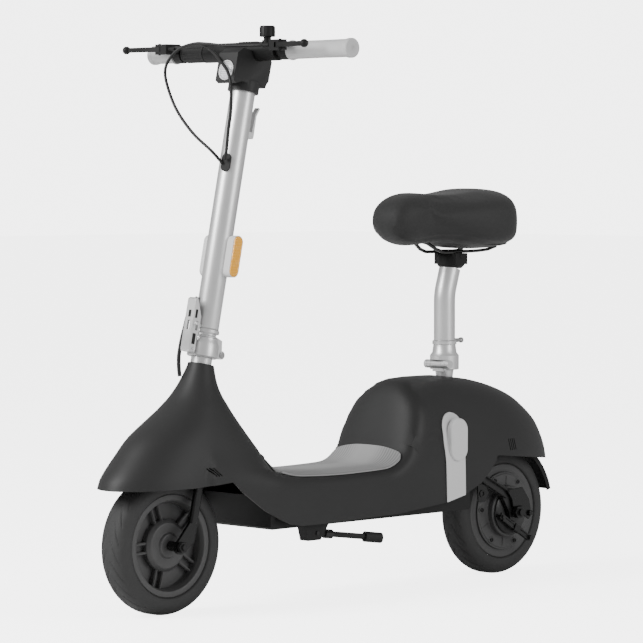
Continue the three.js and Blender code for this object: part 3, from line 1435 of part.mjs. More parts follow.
// Clamp head on the post, and the two rails under the saddle
function seatClamp() {
  const foot = postTopHeight + gap;
  const head = turned([
    [0, foot], [clampHeadRadius - 6, foot], [clampHeadRadius, foot + 6],
    [clampHeadRadius, foot + clampHeadHeight - 8], [clampHeadRadius - 4, foot + clampHeadHeight],
    [0, foot + clampHeadHeight]], 20).translate(0, postTopAt + 3, 0);
  const saddleBar = rodX(5, -railHalfSpan - 6, railHalfSpan + 6, 12)
    .translate(0, postTopAt + 3, foot + clampHeadHeight - 6);
  const grooves = [-1, 1].map((side) => bar(
    [side * railHalfSpan, postTopAt - 90, railHeight], [side * railHalfSpan, postTopAt + 90, railHeight],
    railRadius + 3 * gap, 10));
  const ears = [-1, 1].map((side) => block(side * railHalfSpan - 5, side * railHalfSpan + 5,
    postTopAt - 14, postTopAt + 20, foot + 8, foot + clampHeadHeight));
  return cut(join(head, saddleBar, ...ears), postLoft(postRadius + gap, 0, gap), ...grooves);
}

const railPlace = (share) => saddleFrontAt + saddleLength * share;

function saddleRails() {
  const one = (side) => tube([
    [side * railHalfSpan * 0.55, railPlace(0.318), saddleFoot + railFrontRise],
    [side * railHalfSpan * 0.8, railPlace(0.39), railHeight + railFrontRise / 2],
    [side * railHalfSpan, railPlace(0.464), railHeight],
    [side * railHalfSpan, railPlace(0.642), railHeight], [side * railHalfSpan, railPlace(0.778), railHeight],
    [side * railHalfSpan * 1.5, railPlace(0.877), railHeight + railRadius],
    [side * railHalfSpan * 1.9, railPlace(0.917), railHeight + railRadius * 2.8]], railRadius, 10, 6);
  const bridge = bar([-railHalfSpan * 0.56, railPlace(0.321), saddleFoot + railFrontRise - 1],
    [railHalfSpan * 0.56, railPlace(0.321), saddleFoot + railFrontRise - 1], railRadius * 0.9, 8);
  return join(one(1), one(-1), bridge);
}

// Saddle: sections across it from nose to tail. Each row of shares gives the place along it,
// half width, lower edge and top as shares of the saddle's own sizes.
const saddleRows = [
  [0.004, 0.16, 0.42, 0.6], [0.02, 0.3, 0.345, 0.735], [0.055, 0.39, 0.285, 0.845],
  [0.11, 0.45, 0.235, 0.905], [0.18, 0.49, 0.205, 0.93], [0.26, 0.53, 0.2, 0.915],
  [0.35, 0.62, 0.195, 0.9], [0.45, 0.75, 0.165, 0.9], [0.55, 0.87, 0.12, 0.915],
  [0.65, 0.955, 0.075, 0.945], [0.74, 0.995, 0.05, 0.98], [0.82, 1, 0.045, 0.995],
  [0.89, 0.955, 0.065, 0.985], [0.945, 0.84, 0.12, 0.93], [0.98, 0.66, 0.22, 0.83],
  [0.997, 0.4, 0.38, 0.68]];
const saddleRing = 24;

function saddleSection([along, width, low, high], shrink, under) {
  const y = saddleFrontAt + saddleLength * along;
  const height = saddleTop - saddleFoot;
  const [foot, top] = [saddleFoot + height * low + under, saddleFoot + height * high - shrink];
  const half = saddleRearHalf * width - shrink;
  const loop = [];
  for (let i = 0; i < saddleRing; i += 1) {
    const turn = (i / saddleRing) * fullTurn;
    const [c, s] = [Math.cos(turn), Math.sin(turn)];
    const x = half * Math.sign(c) * Math.abs(c) ** 0.72;
    const up = Math.sign(s) * Math.abs(s) ** (s > 0 ? 0.62 : 0.36);
    const middle = foot + (top - foot) * 0.42;
    const z = up > 0 ? middle + (top - middle) * up : middle + (middle - foot) * up;
    const drawn = up < 0 ? 1 - 0.07 * up * up : 1 - 0.05 * up * up;
    loop.push([x * drawn, y, z]);
  }
  return loop;
}

function saddleCushion() {
  const body = loft(saddleRows.map((row) => saddleSection(row, 0, 0)));
  const hollow = loft(saddleRows.slice(3, -2).map((row) => saddleSection(
    [row[0], row[1], row[2] - 0.3, 0.46], saddleWall, -overrun)));
  return cut(body, hollow);
}

function saddlePan() {
  return loft(saddleRows.slice(4, -3).map((row) => saddleSection(
    [row[0], row[1] * 0.9, row[2] + 0.01, row[2] + 0.21], saddleWall + panClearance, 1)));
}

// Kickstand: bracket under the tray, leg with a collar, and a rubber foot
function standBracket() {
  const [y, z] = [standPivotAt, standPivotHeight];
  const outline = shapeOf([
    [y - 32, bellyFoot + 1], [y - 24, z - 13], [y + 8, z - 13], [y + 16, z - 4], [y + 30, bellyFoot + 1]]);
  const body = prismX(outline, standAt - standBracketHalf, standAt + standBracketHalf);
  return cut(body, block(standAt - standBracketHalf + standBracketWall,
    standAt + standBracketHalf - standBracketWall, y - 12, y + overrun * 6, z - overrun * 4,
    bellyFoot - standBracketWall),
  rodX(standPinRadius + gap, standAt - standBracketHalf - 1, standAt + standBracketHalf + 1, 12)
    .translate(0, y, z));
}

const standShare = (share) => [standAt + standSplay * share ** 2, standPivotAt + standLength * share,
  standPivotHeight - standFall * share];

function standLeg() {
  const half = standBracketHalf - standBracketWall - gap;
  const eye = rodX(8, -half, half, 10).translate(standAt, standPivotAt, standPivotHeight);
  const pin = rodX(standPinRadius, -standBracketHalf - 2, standBracketHalf + 2, 10)
    .translate(standAt, standPivotAt, standPivotHeight);
  const leg = tube([0, 0.3, 0.6, 1].map((share) => standShare(share * 0.86)), standRadius, 4, 6);
  const collar = bar(standShare(0.18), standShare(0.3), standRadius + 2.5, 10);
  return join(eye, pin, leg, collar);
}

function standFoot() {
  const [from, to] = [standShare(0.8), standShare(1.03)];
  return cut(bar(from, to, standFootRadius, 14),
    tube([0.5, 0.6, 0.75, 1].map((share) => standShare(share * 0.87)), standRadius + 2 * gap, 3, 8));
}

// Rear brake lever on the cam behind the left arm
function brakeArm() {
  const [y, z] = [brakePivotAt, brakePivotHeight];
  const reach = Math.hypot(brakeArmRun, brakeArmDrop);
  const plate = prismX(shapeOf([[-7, -6], [reach * 0.5, -6.5], [reach + 6, -5], [reach + 8, 0],
    [reach + 6, 5], [reach * 0.5, 4.5], [-7, 6]]), 0, brakeArmThickness)
    .rotateX(-Math.atan2(brakeArmDrop, brakeArmRun));
  const face = drumFace + gap + brakePlateThickness;
  const cam = rodX(4, face + gap, brakeArmAt + brakeArmThickness + 3, 14);
  const clamp = rodX(5, 0, brakeArmThickness + 6, 6).translate(0, reach, 0)
    .rotateX(-Math.atan2(brakeArmDrop, brakeArmRun));
  return join(plate.translate(brakeArmAt, 0, 0), clamp.translate(brakeArmAt, 0, 0), cam)
    .translate(0, y, z);
}

// Cables of both brakes, from the perches over the front of the bar into the stem
function brakeCable(points) {
  return tube(points, cableRadius, 22, 6);
}

const leftCableRoute = [
  [leftClampAt - clampWidth / 2 - adjusterLength - gap, 187, 1037], [55, 188, 1035], [-19, 180, 1036.5], [-59, 172, 1040.5],
  [-87, 166, 1041.5], [-120, 160, 1034], [-139, 154, 1019], [-149, 148, 996], [-140, 144, 966],
  [-109, 140, 918.5], [-62.5, 138, 875], [-14, 139, 842.5], [4, 149.5, 820]];
const rightCableRoute = [
  [-rightClampAt + clampWidth / 2 + adjusterLength + gap, 187, 1037], [-138, 188, 1037], [-89, 182, 1040.5], [-52, 174, 1029],
  [-9.5, 160, 1006], [23, 147, 985], [38, 140, 958.6], [40, 138, 916.5], [31, 140, 877.5],
  [18, 147, 840], [10.5, 150, 827]];

// Electric harness in front of the fold joint, from the stem down to the neck
const harnessRoute = [
  [-9, 100.1, 574.2], [-14.5, 91.5, 557], [-18.5, 84.5, 542], [-18.5, 77, 521], [-18.5, 69, 498],
  [-18.5, 63, 474], [-18.5, 61.5, 461], [-18, 61.5, 444], [-17, 62.5, 430]];

function harness() {
  return tube(harnessRoute, harnessRadius, 14, 6);
}

function rootPieces() {
  const trimSeat = skinSolid(skinClearance);
  piece('body_shell', bodyShell(), bodyPlastic);
  piece('floor_mat', floorMat(), matRubber);
  const trim = sideTrim(trimSeat);
  piece('side_trim_left', trim, trimPlastic);
  piece('side_trim_right', mirrored(trim), trimPlastic);
  piece('tail_light', tailLight(trimSeat), redLens);
  piece('belly_pan', bellyPan(), blackPlastic);
  piece('main_frame', mainFrame(), steel);
  piece('battery_pack', batteryPack(), blackPlastic);
  piece('controller_box', controllerBox(), casting);
  piece('rear_mudguard', mudguard(), blackPlastic);
  piece('seat_hinge_base', seatBase(), silver);
  piece('rear_axle', rearAxleSolid(), zinc, rearAxle);
  piece('rear_brake_plate', brakePlate(), steel, rearAxle);
  const bore = steererRadius + gap;
  const top = headTubeFoot + headTubeHeight;
  piece('headset_upper', pipe(headRingRadius, bore, top + gap, collarFoot - gap, 24), silver, steering);
}

function steeringPieces() {
  piece('front_fork', frontFork(), steel, steering);
  piece('fold_base', foldBase(), silver, steering);
  piece('fold_pin', foldPin().translate(0, foldPivotBack, foldPivotHeight), zinc, steering);
  piece('front_axle', frontAxleSolid(), zinc, frontAxle);
  piece('harness_cable', harness(), rubber);
  piece('latch_lever', latchLever(), silver, steering);
}

function wheelPieces() {
  piece('front_tyre', tyre(), rubber, frontAxle);
  piece('front_rim', frontWheel(), wheelPaint, frontAxle);
  piece('rear_tyre', tyre(), rubber, rearAxle);
  piece('rear_motor', rearMotor(), wheelPaint, rearAxle);
  piece('rear_cover_left', motorCover(drumRadius, drumFace), wheelPaint, rearAxle);
}

function stemPieces() {
  piece('stem_tube', stemTube(), silver, steering);
  piece('fold_collar', foldCollar(), silver, steering);
  piece('cable_grommet', grommet(), rubber, steering);
  const frame = reflectorFrame();
  const lens = reflectorLens();
  piece('reflector_frame_left', frame, trimPlastic, steering);
  piece('reflector_frame_right', mirrored(frame), trimPlastic, steering);
  piece('reflector_lens_left', lens, amber, steering);
  piece('reflector_lens_right', mirrored(lens), amber, steering);
  piece('stem_hook', stemHook(), blackPlastic, steering);
  const housing = headHousing();
  piece('head_housing', housing.body, blackPlastic, steering);
  piece('headlight_bezel', headBezel(housing.lensAt), silver, steering);
  piece('headlight_lens', headLens(housing.lensAt), clearLens, steering);
  piece('handlebar', handlebar(), steel, barFrame);
  piece('bar_cover', join(coverWithFlat(), bellBase()), blackPlastic, barFrame);
  piece('display_glass', displayGlass(), blackPlastic, barFrame);
  piece('grip_left', grip(leftGripStart), gripRubber, barFrame);
  piece('grip_right', mirrored(grip(rightGripStart)), gripRubber, barFrame);
  piece('lever_perch_left', perch().translate(leftClampAt, 0, 0), blackPlastic, barFrame);
  piece('lever_perch_right', mirrored(perch()).translate(-rightClampAt, 0, 0), blackPlastic, barFrame);
  piece('brake_cable_left', brakeCable(leftCableRoute), rubber);
  piece('brake_cable_right', brakeCable(rightCableRoute), rubber);
}

function controlPieces() {
  piece('brake_lever_left', brakeLever().translate(leftClampAt, 0, 0), blackPlastic, barFrame);
  piece('brake_lever_right', mirrored(brakeLever()).translate(-rightClampAt, 0, 0), blackPlastic,
    barFrame);
  piece('throttle_sleeve', throttle(), rubber, barFrame);
  piece('bell_cap', bellCap(), blackPlastic, barFrame);
  piece('rear_brake_arm', brakeArm(), steel);
}

function seatPieces() {
  piece('seat_pin', seatPin(), zinc);
  piece('seat_cup', seatCup(), silver);
  piece('seat_post', seatPost(), silver);
  piece('seat_peg', seatPeg(), silver);
  piece('seat_clamp', seatClamp(), blackPlastic);
  piece('saddle_rails', saddleRails(), steel);
  piece('saddle_pan', saddlePan(), blackPlastic);
  piece('saddle_cushion', saddleCushion(), leather);
}

function standPieces() {
  piece('kickstand_leg', standLeg(), steel);
  piece('kickstand_foot', standFoot(), rubber);
}

rootPieces();
steeringPieces();
wheelPieces();
stemPieces();
controlPieces();
seatPieces();
standPieces();

// The origin is the middle of the base
scooter.updateMatrixWorld(true);
const bounds = new THREE.Box3().setFromObject(scooter, true);
const centre = bounds.getCenter(new THREE.Vector3());
scooter.position.set(-centre.x, -centre.y, -bounds.min.z);
scooter.updateMatrixWorld(true);

export default scooter;
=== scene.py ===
# %% [markdown]
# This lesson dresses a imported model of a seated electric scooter. The model is the fixed frame:
# its wheels, tubes and hinges stay where they are, and each piece made here lies on one of them.
# Lengths are in metres, +Z is up, the scooter faces -Y and its left side is +X.

# %% Load the frame
import math
import bpy
import bmesh
import numpy as np
from mathutils import Matrix, Vector


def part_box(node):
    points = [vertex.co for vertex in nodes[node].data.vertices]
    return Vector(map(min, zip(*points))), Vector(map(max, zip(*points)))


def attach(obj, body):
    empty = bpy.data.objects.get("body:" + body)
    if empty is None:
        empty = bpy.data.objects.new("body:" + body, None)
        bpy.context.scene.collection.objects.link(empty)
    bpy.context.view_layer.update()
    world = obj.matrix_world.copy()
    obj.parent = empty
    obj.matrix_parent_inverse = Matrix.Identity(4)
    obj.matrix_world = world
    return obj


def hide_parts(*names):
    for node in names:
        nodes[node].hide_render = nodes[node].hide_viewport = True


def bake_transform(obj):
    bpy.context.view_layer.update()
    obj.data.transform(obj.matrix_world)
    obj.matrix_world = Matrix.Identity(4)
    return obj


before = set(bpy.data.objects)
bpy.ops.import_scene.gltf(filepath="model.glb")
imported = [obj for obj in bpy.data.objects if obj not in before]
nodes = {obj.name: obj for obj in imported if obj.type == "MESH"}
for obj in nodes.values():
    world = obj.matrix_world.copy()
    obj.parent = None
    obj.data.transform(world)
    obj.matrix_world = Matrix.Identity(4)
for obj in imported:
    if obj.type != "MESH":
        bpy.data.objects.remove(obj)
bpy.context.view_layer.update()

# %% [markdown]
# A drawing of a scooter is easiest to read from the front axle: how far back, how high. So this
# lesson gives places in millimetres from the point on the ground under the front axle, and one
# helper turns them into the frame's metres. The tyre's own box says where the axle is.

# %% Places from the front axle
tyre_low, tyre_high = [Vector(corner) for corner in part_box("front_tyre")]
AXLE = Vector(((tyre_low.x + tyre_high.x) / 2, (tyre_low.y + tyre_high.y) / 2, 0))
AXLE_HEIGHT, WHEELBASE, POST_BACK = 127.0, 894.0, 752.7
BAR_BACK, BAR_HEIGHT = 224.8, 1025.5
RAKE_DEGREES, PIVOT_BACK = 12.1, 29.7
RAKE = math.radians(RAKE_DEGREES)


def place(x, y, z):
    return Vector((x, y, z)) / 1000 + AXLE


# The steering frame leans back with the stem: across, behind the axis, along the axis
PIVOT = place(0, PIVOT_BACK, AXLE_HEIGHT)
STEER = Matrix.Translation(PIVOT) @ Matrix.Rotation(-RAKE, 4, "X")
BAR = Matrix.Translation(place(0, BAR_BACK, BAR_HEIGHT))
FRONT_HUB = Matrix.Translation(place(0, 0, AXLE_HEIGHT))
REAR_HUB = Matrix.Translation(place(0, WHEELBASE, AXLE_HEIGHT))
UPRIGHT = Matrix.Translation(AXLE)
print("front axle at", AXLE)

# %% [markdown]
# The photograph was taken with a long lens from the front left, a little above the floor. The
# camera stands at the same place and has the same field of view, so that both pictures can be
# laid over each other.

# %% Camera
SENSOR, PICTURE_WIDTH, FOCAL_PIXELS = 36, 643, 3241.97
lens_data = bpy.data.cameras.new("camera")
lens_data.sensor_fit = "HORIZONTAL"
lens_data.sensor_width = SENSOR
lens_data.lens = SENSOR * FOCAL_PIXELS / PICTURE_WIDTH
lens_data.clip_end = 60
camera = bpy.data.objects.new("camera", lens_data)
bpy.context.scene.collection.objects.link(camera)
EYE, SUBJECT = place(4364.5, -3921.6, 792.05), place(0, 410.9, 519.945)
camera.location = EYE
aim = SUBJECT - EYE
camera.rotation_mode = "QUATERNION"
camera.rotation_quaternion = aim.to_track_quat("-Z", "Y")
bpy.context.scene.camera = camera
print("camera", aim.length, "m from the scooter")

# %% [markdown]
# Shader maths reads best as sums and products. This small class stands for one socket: adding,
# subtracting or multiplying two of them adds the Math node that does it. One more method makes
# any other node from its type, its settings and the values or links of its sockets.

# %% Sockets that do maths


class Wire:
    """One output socket. Sums and products of wires add Math nodes."""

    def __init__(self, finish, socket):
        self.finish = finish
        self.socket = socket

    def maths(self, operation, first, second=0.0):
        return self.finish.node("ShaderNodeMath", {"operation": operation}, {0: first, 1: second})

    def __add__(self, other):
        return self.maths("ADD", self, other)

    def __radd__(self, other):
        return self.maths("ADD", other, self)

    def __sub__(self, other):
        return self.maths("SUBTRACT", self, other)

    def __rsub__(self, other):
        return self.maths("SUBTRACT", other, self)

    def __mul__(self, other):
        return self.maths("MULTIPLY", self, other)

    def __rmul__(self, other):
        return self.maths("MULTIPLY", other, self)

    def wave(self):
        return self.maths("SINE", self)

    def size(self):
        return self.maths("ABSOLUTE", self)

    def clamped(self):
        return self.maths("MINIMUM", self.maths("MAXIMUM", self, 0.0), 1.0)


class Finish:
    """A material: one Principled shader and the nodes that feed it."""

    def __init__(self, name, **plain):
        self.material = bpy.data.materials.new(name)
        self.material.use_nodes = True
        self.tree = self.material.node_tree
        self.shader = self.tree.nodes["Principled BSDF"]
        self.heights = []
        for socket, value in plain.items():
            self.shader.inputs[socket.replace("_", " ")].default_value = value

    def node(self, kind, settings=None, sockets=None, output=0):
        made = self.tree.nodes.new(kind)
        for key, value in (settings or {}).items():
            setattr(made, key, value)
        for key, value in (sockets or {}).items():
            self.feed(made.inputs[key], value)
        return Wire(self, made.outputs[output])

    def feed(self, socket, value):
        if isinstance(value, Wire):
            self.tree.links.new(value.socket, socket)
        else:
            socket.default_value = value

    def where(self):
        return self.node("ShaderNodeTexCoord", output="Object")

    def along(self, axis):
        return self.node("ShaderNodeSeparateXYZ", None, {0: self.where()}, axis)

    def noise(self, scale, detail=3.0, roughness=0.5):
        sockets = {"Vector": self.where(), "Scale": scale, "Detail": detail, "Roughness": roughness}
        return self.node("ShaderNodeTexNoise", None, sockets, "Fac")

    def cells(self, scale, feature="F1"):
        sockets = {"Vector": self.where(), "Scale": scale}
        return self.node("ShaderNodeTexVoronoi", {"feature": feature}, sockets, "Distance")

    def blend(self, amount, first, second):
        return self.node("ShaderNodeMix", {"data_type": "RGBA"},
                         {0: amount, 6: first, 7: second}, output=2)

    def colour(self, value):
        self.feed(self.shader.inputs["Base Color"], value)

    def rough(self, value):
        self.feed(self.shader.inputs["Roughness"], value)

    def bump(self, height, depth, strength):
        """depth is the height of the relief in metres."""
        sockets = {"Height": height, "Distance": depth, "Strength": strength}
        if self.heights:
            sockets["Normal"] = self.heights[-1]
        self.heights.append(self.node("ShaderNodeBump", None, sockets, output="Normal"))
        self.feed(self.shader.inputs["Normal"], self.heights[-1])


def grey(level):
    """The paint that looks like this grey, from 0 to 255."""
    share = level / 255
    linear = share / 12.92 if share < 0.04 else ((share + 0.055) / 1.055) ** 2.4
    return (linear,) * 3 + (1.0,)


print("shader helpers ready")

# %% [markdown]
# The large body is one injection moulding in dyed plastic. Such a skin isn't flat: the mould is
# etched, which leaves a fine grain, and the gloss drifts a little from place to place. Two noise
# textures do both, one fine for the grain and one broad for the drift.

# %% Moulded plastics


def moulded(name, low, high, gloss, grain=2400, depth=0.00004):
    made = Finish(name, Specular_IOR_Level=0.25)
    drift = made.noise(7, 4)
    speck = made.noise(grain, 2, 0.6)
    made.colour(made.blend(drift, grey(low), grey(high)))
    made.rough(gloss + 0.1 * drift + 0.06 * speck)
    made.bump(speck, depth, 0.5)
    return made.material


body_finish = moulded("body_moulding", 35, 42, 0.42, 2100, 0.00003)
dark_finish = moulded("dark_moulding", 16, 22, 0.44)
trim_finish = moulded("pale_moulding", 196, 206, 0.42)
white_finish = moulded("milky_moulding", 205, 216, 0.38)
print("plastics", body_finish.name, dark_finish.name, trim_finish.name)

# %% [markdown]
# Painted tubes and castings have a powder coat: tiny flakes in a clear film with a slightly
# wavy surface like orange peel. The flakes brighten single cells of a cell texture, and a low
# noise gives the peel. Bare plated bolts are smoother and show fine turning marks.

# %% Painted and plated metal


def powder(name, low, high, gloss, metal):
    made = Finish(name, Metallic=metal)
    flakes = made.cells(2600)
    drift = made.noise(9, 3)
    tone = (drift * 0.7 + flakes * 0.5).clamped()
    made.colour(made.blend(tone, grey(low), grey(high)))
    made.rough(gloss + 0.08 * drift + 0.05 * flakes)
    made.bump(made.noise(420, 2), 0.00005, 0.6)
    return made.material


def plated(name, level, gloss):
    made = Finish(name, Metallic=1.0)
    stain = made.noise(60, 5, 0.7)
    turning = (made.along("X") * 9000).wave()
    made.colour(made.blend(stain, grey(level - 25), grey(level)))
    made.rough(gloss + 0.18 * stain)
    made.bump(turning, 0.000004, 0.4)
    return made.material


silver_finish = powder("silver_powder_coat", 196, 216, 0.32, 0.75)
steel_finish = powder("black_powder_coat", 18, 26, 0.3, 0.25)
fork_finish = powder("black_enamel", 6, 11, 0.2, 0.3)
wheel_finish = powder("wheel_powder_coat", 56, 68, 0.42, 0.15)
cast_finish = powder("bare_casting", 150, 170, 0.45, 0.8)
screw_finish = powder("blackened_screw", 30, 46, 0.32, 0.7)
bolt_finish = plated("plated_bolt", 190, 0.22)
print("metals", silver_finish.name, wheel_finish.name, bolt_finish.name)

# %% [markdown]
# Rubber is dull and takes up dust. The tyres, the floor mat, the grips and the cables are all
# rubber, but with other tones and grains, so one function makes them from a few numbers.

# %% Rubbers


def rubber(name, low, high, gloss, grain, depth):
    made = Finish(name, Specular_IOR_Level=0.3)
    cloud = made.noise(16, 5, 0.62)
    speck = made.noise(grain, 2, 0.55)
    tone = (cloud * 0.85 + speck * 0.15).clamped()
    made.colour(made.blend(tone, grey(low), grey(high)))
    made.rough(gloss + 0.14 * cloud)
    made.bump(speck, depth, 0.6)
    return made.material


tyre_finish = rubber("tyre_rubber", 42, 58, 0.6, 1500, 0.00006)
cable_finish = rubber("cable_sheath", 24, 32, 0.42, 2500, 0.00002)
soft_finish = rubber("black_rubber", 26, 36, 0.6, 1800, 0.00006)
print("rubbers", tyre_finish.name, soft_finish.name)

# %% [markdown]
# The floor mat is the same rubber in pale grey. A cosine of the distance from the middle darkens
# the grooves between its long ribs with painted shade, more so towards the sides.

# %% Mat rubber
RIB_PITCH = 6.4


def mat_rubber():
    made = Finish("mat_rubber", Specular_IOR_Level=0.3)
    out = (made.along("X") - AXLE.x).size()
    wave = (out * (2000 * math.pi / RIB_PITCH) + math.pi / 2).wave() * 0.5 + 0.5
    # painted shade in the grooves between the ribs, none near the middle
    groove_shade = wave * ((out - 0.02) * 33).clamped()
    cloud = made.noise(16, 5, 0.62)
    speck = made.noise(1300, 2, 0.55)
    made.colour(made.blend((0.75 - 0.55 * groove_shade + 0.25 * cloud).clamped(), grey(102), grey(153)))
    made.rough(0.6 + 0.14 * cloud)
    made.bump(speck, 0.00008, 0.6)
    return made.material


mat_finish = mat_rubber()
print("mat", mat_finish.name)

# %% [markdown]
# The grips are pale rubber sleeves moulded with a diamond pattern, so that the hand doesn't slip.
# Two sine waves that wind round the bar in opposite senses cross in diamonds. They need the
# angle round the bar, which an arc tangent of the two cross coordinates gives.

# %% Grip rubber


def grip_rubber():
    made = Finish("grip_rubber", Specular_IOR_Level=0.35)
    centre = place(0, BAR_BACK, BAR_HEIGHT)
    cross = {0: made.along("Y") - centre.y, 1: made.along("Z") - centre.z}
    turn = made.node("ShaderNodeMath", {"operation": "ARCTAN2"}, cross)
    run = made.along("X") * 1400
    ridges = ((turn * 22 + run).wave() * (turn * 22 - run).wave()).size()
    cloud = made.noise(14, 4)
    made.colour(made.blend((cloud * 0.6 + ridges * 0.4).clamped(), grey(176), grey(202)))
    made.rough(0.62 - 0.1 * ridges)
    made.bump(ridges, 0.0003, 0.7)
    return made.material


grip_finish = grip_rubber()
print("grip", grip_finish.name)

# %% [markdown]
# The saddle's cover is a soft synthetic leather. Its grain is a net of fine creases round small
# smooth islands: the distance to the edge of Voronoi cells draws just that. A second, finer
# noise roughens the islands.

# %% Saddle leather


def saddle_leather():
    made = Finish("saddle_leather", Specular_IOR_Level=0.25, Sheen_Weight=0.08, Sheen_Roughness=0.5)
    creases = made.cells(620, "DISTANCE_TO_EDGE")
    islands = (creases * 5.5).clamped()
    cloud = made.noise(12, 4)
    made.colour(made.blend((islands * 0.55 + cloud * 0.45).clamped(), grey(30), grey(44)))
    made.rough(0.6 - 0.1 * islands + 0.08 * cloud)
    made.bump(islands, 0.00012, 0.55)
    made.bump(made.noise(2600, 2), 0.00003, 0.4)
    return made.material


leather_finish = saddle_leather()
print("leather", leather_finish.name)

# %% [markdown]
# Lenses: the headlight is clear over a bright bowl, the left reflector is an amber plate with
# rows of small prisms, the rear lamp is red. Clear and red acrylic let light through, so their
# shaders have some transmission, and a bump of prisms breaks the reflections up.

# %% Lenses and glass


def prisms(name, deep, bright, through, scale):
    made = Finish(name, Transmission_Weight=through, IOR=1.49, Coat_Weight=0.6,
                  Coat_Roughness=0.05)
    rows = ((made.along("Z") * scale).wave() * (made.along("Y") * scale).wave()).size()
    made.colour(made.blend(rows, deep, bright))
    made.rough(0.16 + 0.2 * rows)
    made.bump(rows, 0.0005, 0.6)
    return made.material


amber_finish = prisms("amber_prisms", (0.78, 0.3, 0.0, 1), (1.0, 0.5, 0.0, 1), 0.0, 1100)
red_finish = prisms("red_prisms", (0.22, 0.006, 0.006, 1), (0.6, 0.03, 0.02, 1), 0.2, 1300)
clear_finish = prisms("clear_prisms", (0.72, 0.73, 0.74, 1), (0.98, 0.98, 1.0, 1), 0.3, 900)


def window_glass():
    made = Finish("dark_window", Coat_Weight=1.0, Coat_Roughness=0.04)
    smear = made.noise(30, 4)
    made.colour(made.blend(smear, grey(12), grey(24)))
    made.rough(0.08 + 0.12 * smear)
    return made.material


glass_finish = window_glass()
print("lenses", amber_finish.name, clear_finish.name)

# %% [markdown]
# New pieces are meshes made from numbers: `grid_faces` joins rows of points, closed or open each
# way, and `sheet` closes two such grids to a thin skin. Most pieces get smooth shading, except
# where two faces meet at a sharp angle. Then each rides on the body that carries it.

# %% Pieces
SHARP = 38


def stood(name, mesh):
    """Puts a mesh or a lamp into the scene."""
    made = bpy.data.objects.new(name, mesh)
    bpy.context.scene.collection.objects.link(made)
    return made


def coated(made, material):
    """Gives a new piece its finish and smooth shading."""
    made.data.materials.clear()
    made.data.materials.append(material)
    made.data.polygons.foreach_set("use_smooth", [True] * len(made.data.polygons))


def opened(*meshes):
    """One editable shape from one or more meshes."""
    shape = bmesh.new()
    for mesh in meshes:
        shape.from_mesh(mesh)
    return shape


def closed(shape, mesh):
    """Writes the editable shape into a mesh."""
    shape.to_mesh(mesh)
    shape.free()
    return mesh


def sharpen(mesh, degrees):
    """Marks the edges where faces meet at more than this angle."""
    shape = opened(mesh)
    limit = math.radians(degrees)
    for edge in shape.edges:
        edge.smooth = len(edge.link_faces) != 2 or edge.calc_face_angle(0) < limit
    closed(shape, mesh)


def link(name, mesh, material, body, replaced):
    made = stood(name, mesh)
    coated(made, material)
    sharpen(mesh, SHARP)
    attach(made, body)
    if replaced:
        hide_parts(*replaced)
    return made


print("piece helpers ready")

# %% Mesh helpers


def circle(count):
    """The cosine and sine of evenly spaced turns."""
    turns = [2 * math.pi * i / count for i in range(count)]
    return [(math.cos(turn), math.sin(turn)) for turn in turns]


def placed(points):
    return [place(*point) for point in points]


def mesh_of(name, points, faces, matrix=None):
    mesh = bpy.data.meshes.new(name)
    mesh.from_pydata([tuple(p) for p in points], [], [list(f) for f in faces])
    if matrix is not None:
        mesh.transform(matrix)
    mesh.update()
    return mesh


def outward(mesh):
    """Welds doubled points and turns the faces outward."""
    shape = opened(mesh)
    bmesh.ops.remove_doubles(shape, verts=shape.verts, dist=1e-6)
    bmesh.ops.recalc_face_normals(shape, faces=shape.faces)
    return closed(shape, mesh)


def merged(name, meshes):
    """One mesh from several, which are thrown away."""
    shape = opened(*meshes)
    for mesh in meshes:
        bpy.data.meshes.remove(mesh)
    return closed(shape, bpy.data.meshes.new(name))


def grid_faces(rows, columns, wrap_rows=False, wrap_columns=False):
    faces = []
    for i in range(rows if wrap_rows else rows - 1):
        for j in range(columns if wrap_columns else columns - 1):
            k, n = (i + 1) % rows, (j + 1) % columns
            faces.append((i * columns + j, i * columns + n, k * columns + n, k * columns + j))
    return faces


def sheet(name, outer, inner):
    """A thin closed skin between two grids of points, in millimetres."""
    rows, columns = outer.shape[:2]
    count = rows * columns
    faces = grid_faces(rows, columns)
    faces += [tuple(count + k for k in reversed(face)) for face in faces]
    rim = (list(range(columns)) + [i * columns + columns - 1 for i in range(1, rows)]
           + [(rows - 1) * columns + j for j in range(columns - 2, -1, -1)]
           + [i * columns for i in range(rows - 2, 0, -1)])
    faces += [(a, b, b + count, a + count) for a, b in zip(rim, rim[1:] + rim[:1])]
    points = np.concatenate([outer.reshape(-1, 3), inner.reshape(-1, 3)])
    return outward(mesh_of(name, placed(points), faces))


def about_x(turn):
    return Matrix.Rotation(turn, 4, "X")


def plate(outline, near, far, matrix, edge):
    """A flat outline, behind and up, given a thickness across. Its edges may be broken."""
    shape = bmesh.new()
    rings = [[shape.verts.new(Vector((x, y, z)) / 1000) for y, z in outline] for x in (near, far)]
    for i in range(len(outline)):
        n = (i + 1) % len(outline)
        shape.faces.new((rings[0][i], rings[0][n], rings[1][n], rings[1][i]))
    for ring in rings:
        shape.faces.new(ring)
    bmesh.ops.recalc_face_normals(shape, faces=shape.faces)
    if edge:
        bmesh.ops.bevel(shape, geom=shape.edges[:], offset=edge / 1000, segments=2, affect="EDGES")
    mesh = closed(shape, bpy.data.meshes.new("plate"))
    mesh.transform(matrix)
    return mesh


def block(low, high, matrix, edge):
    """A box with broken edges, from its low and high corners."""
    outline = [(low[1], low[2]), (high[1], low[2]), (high[1], high[2]), (low[1], high[2])]
    return plate(outline, low[0], high[0], matrix, edge)


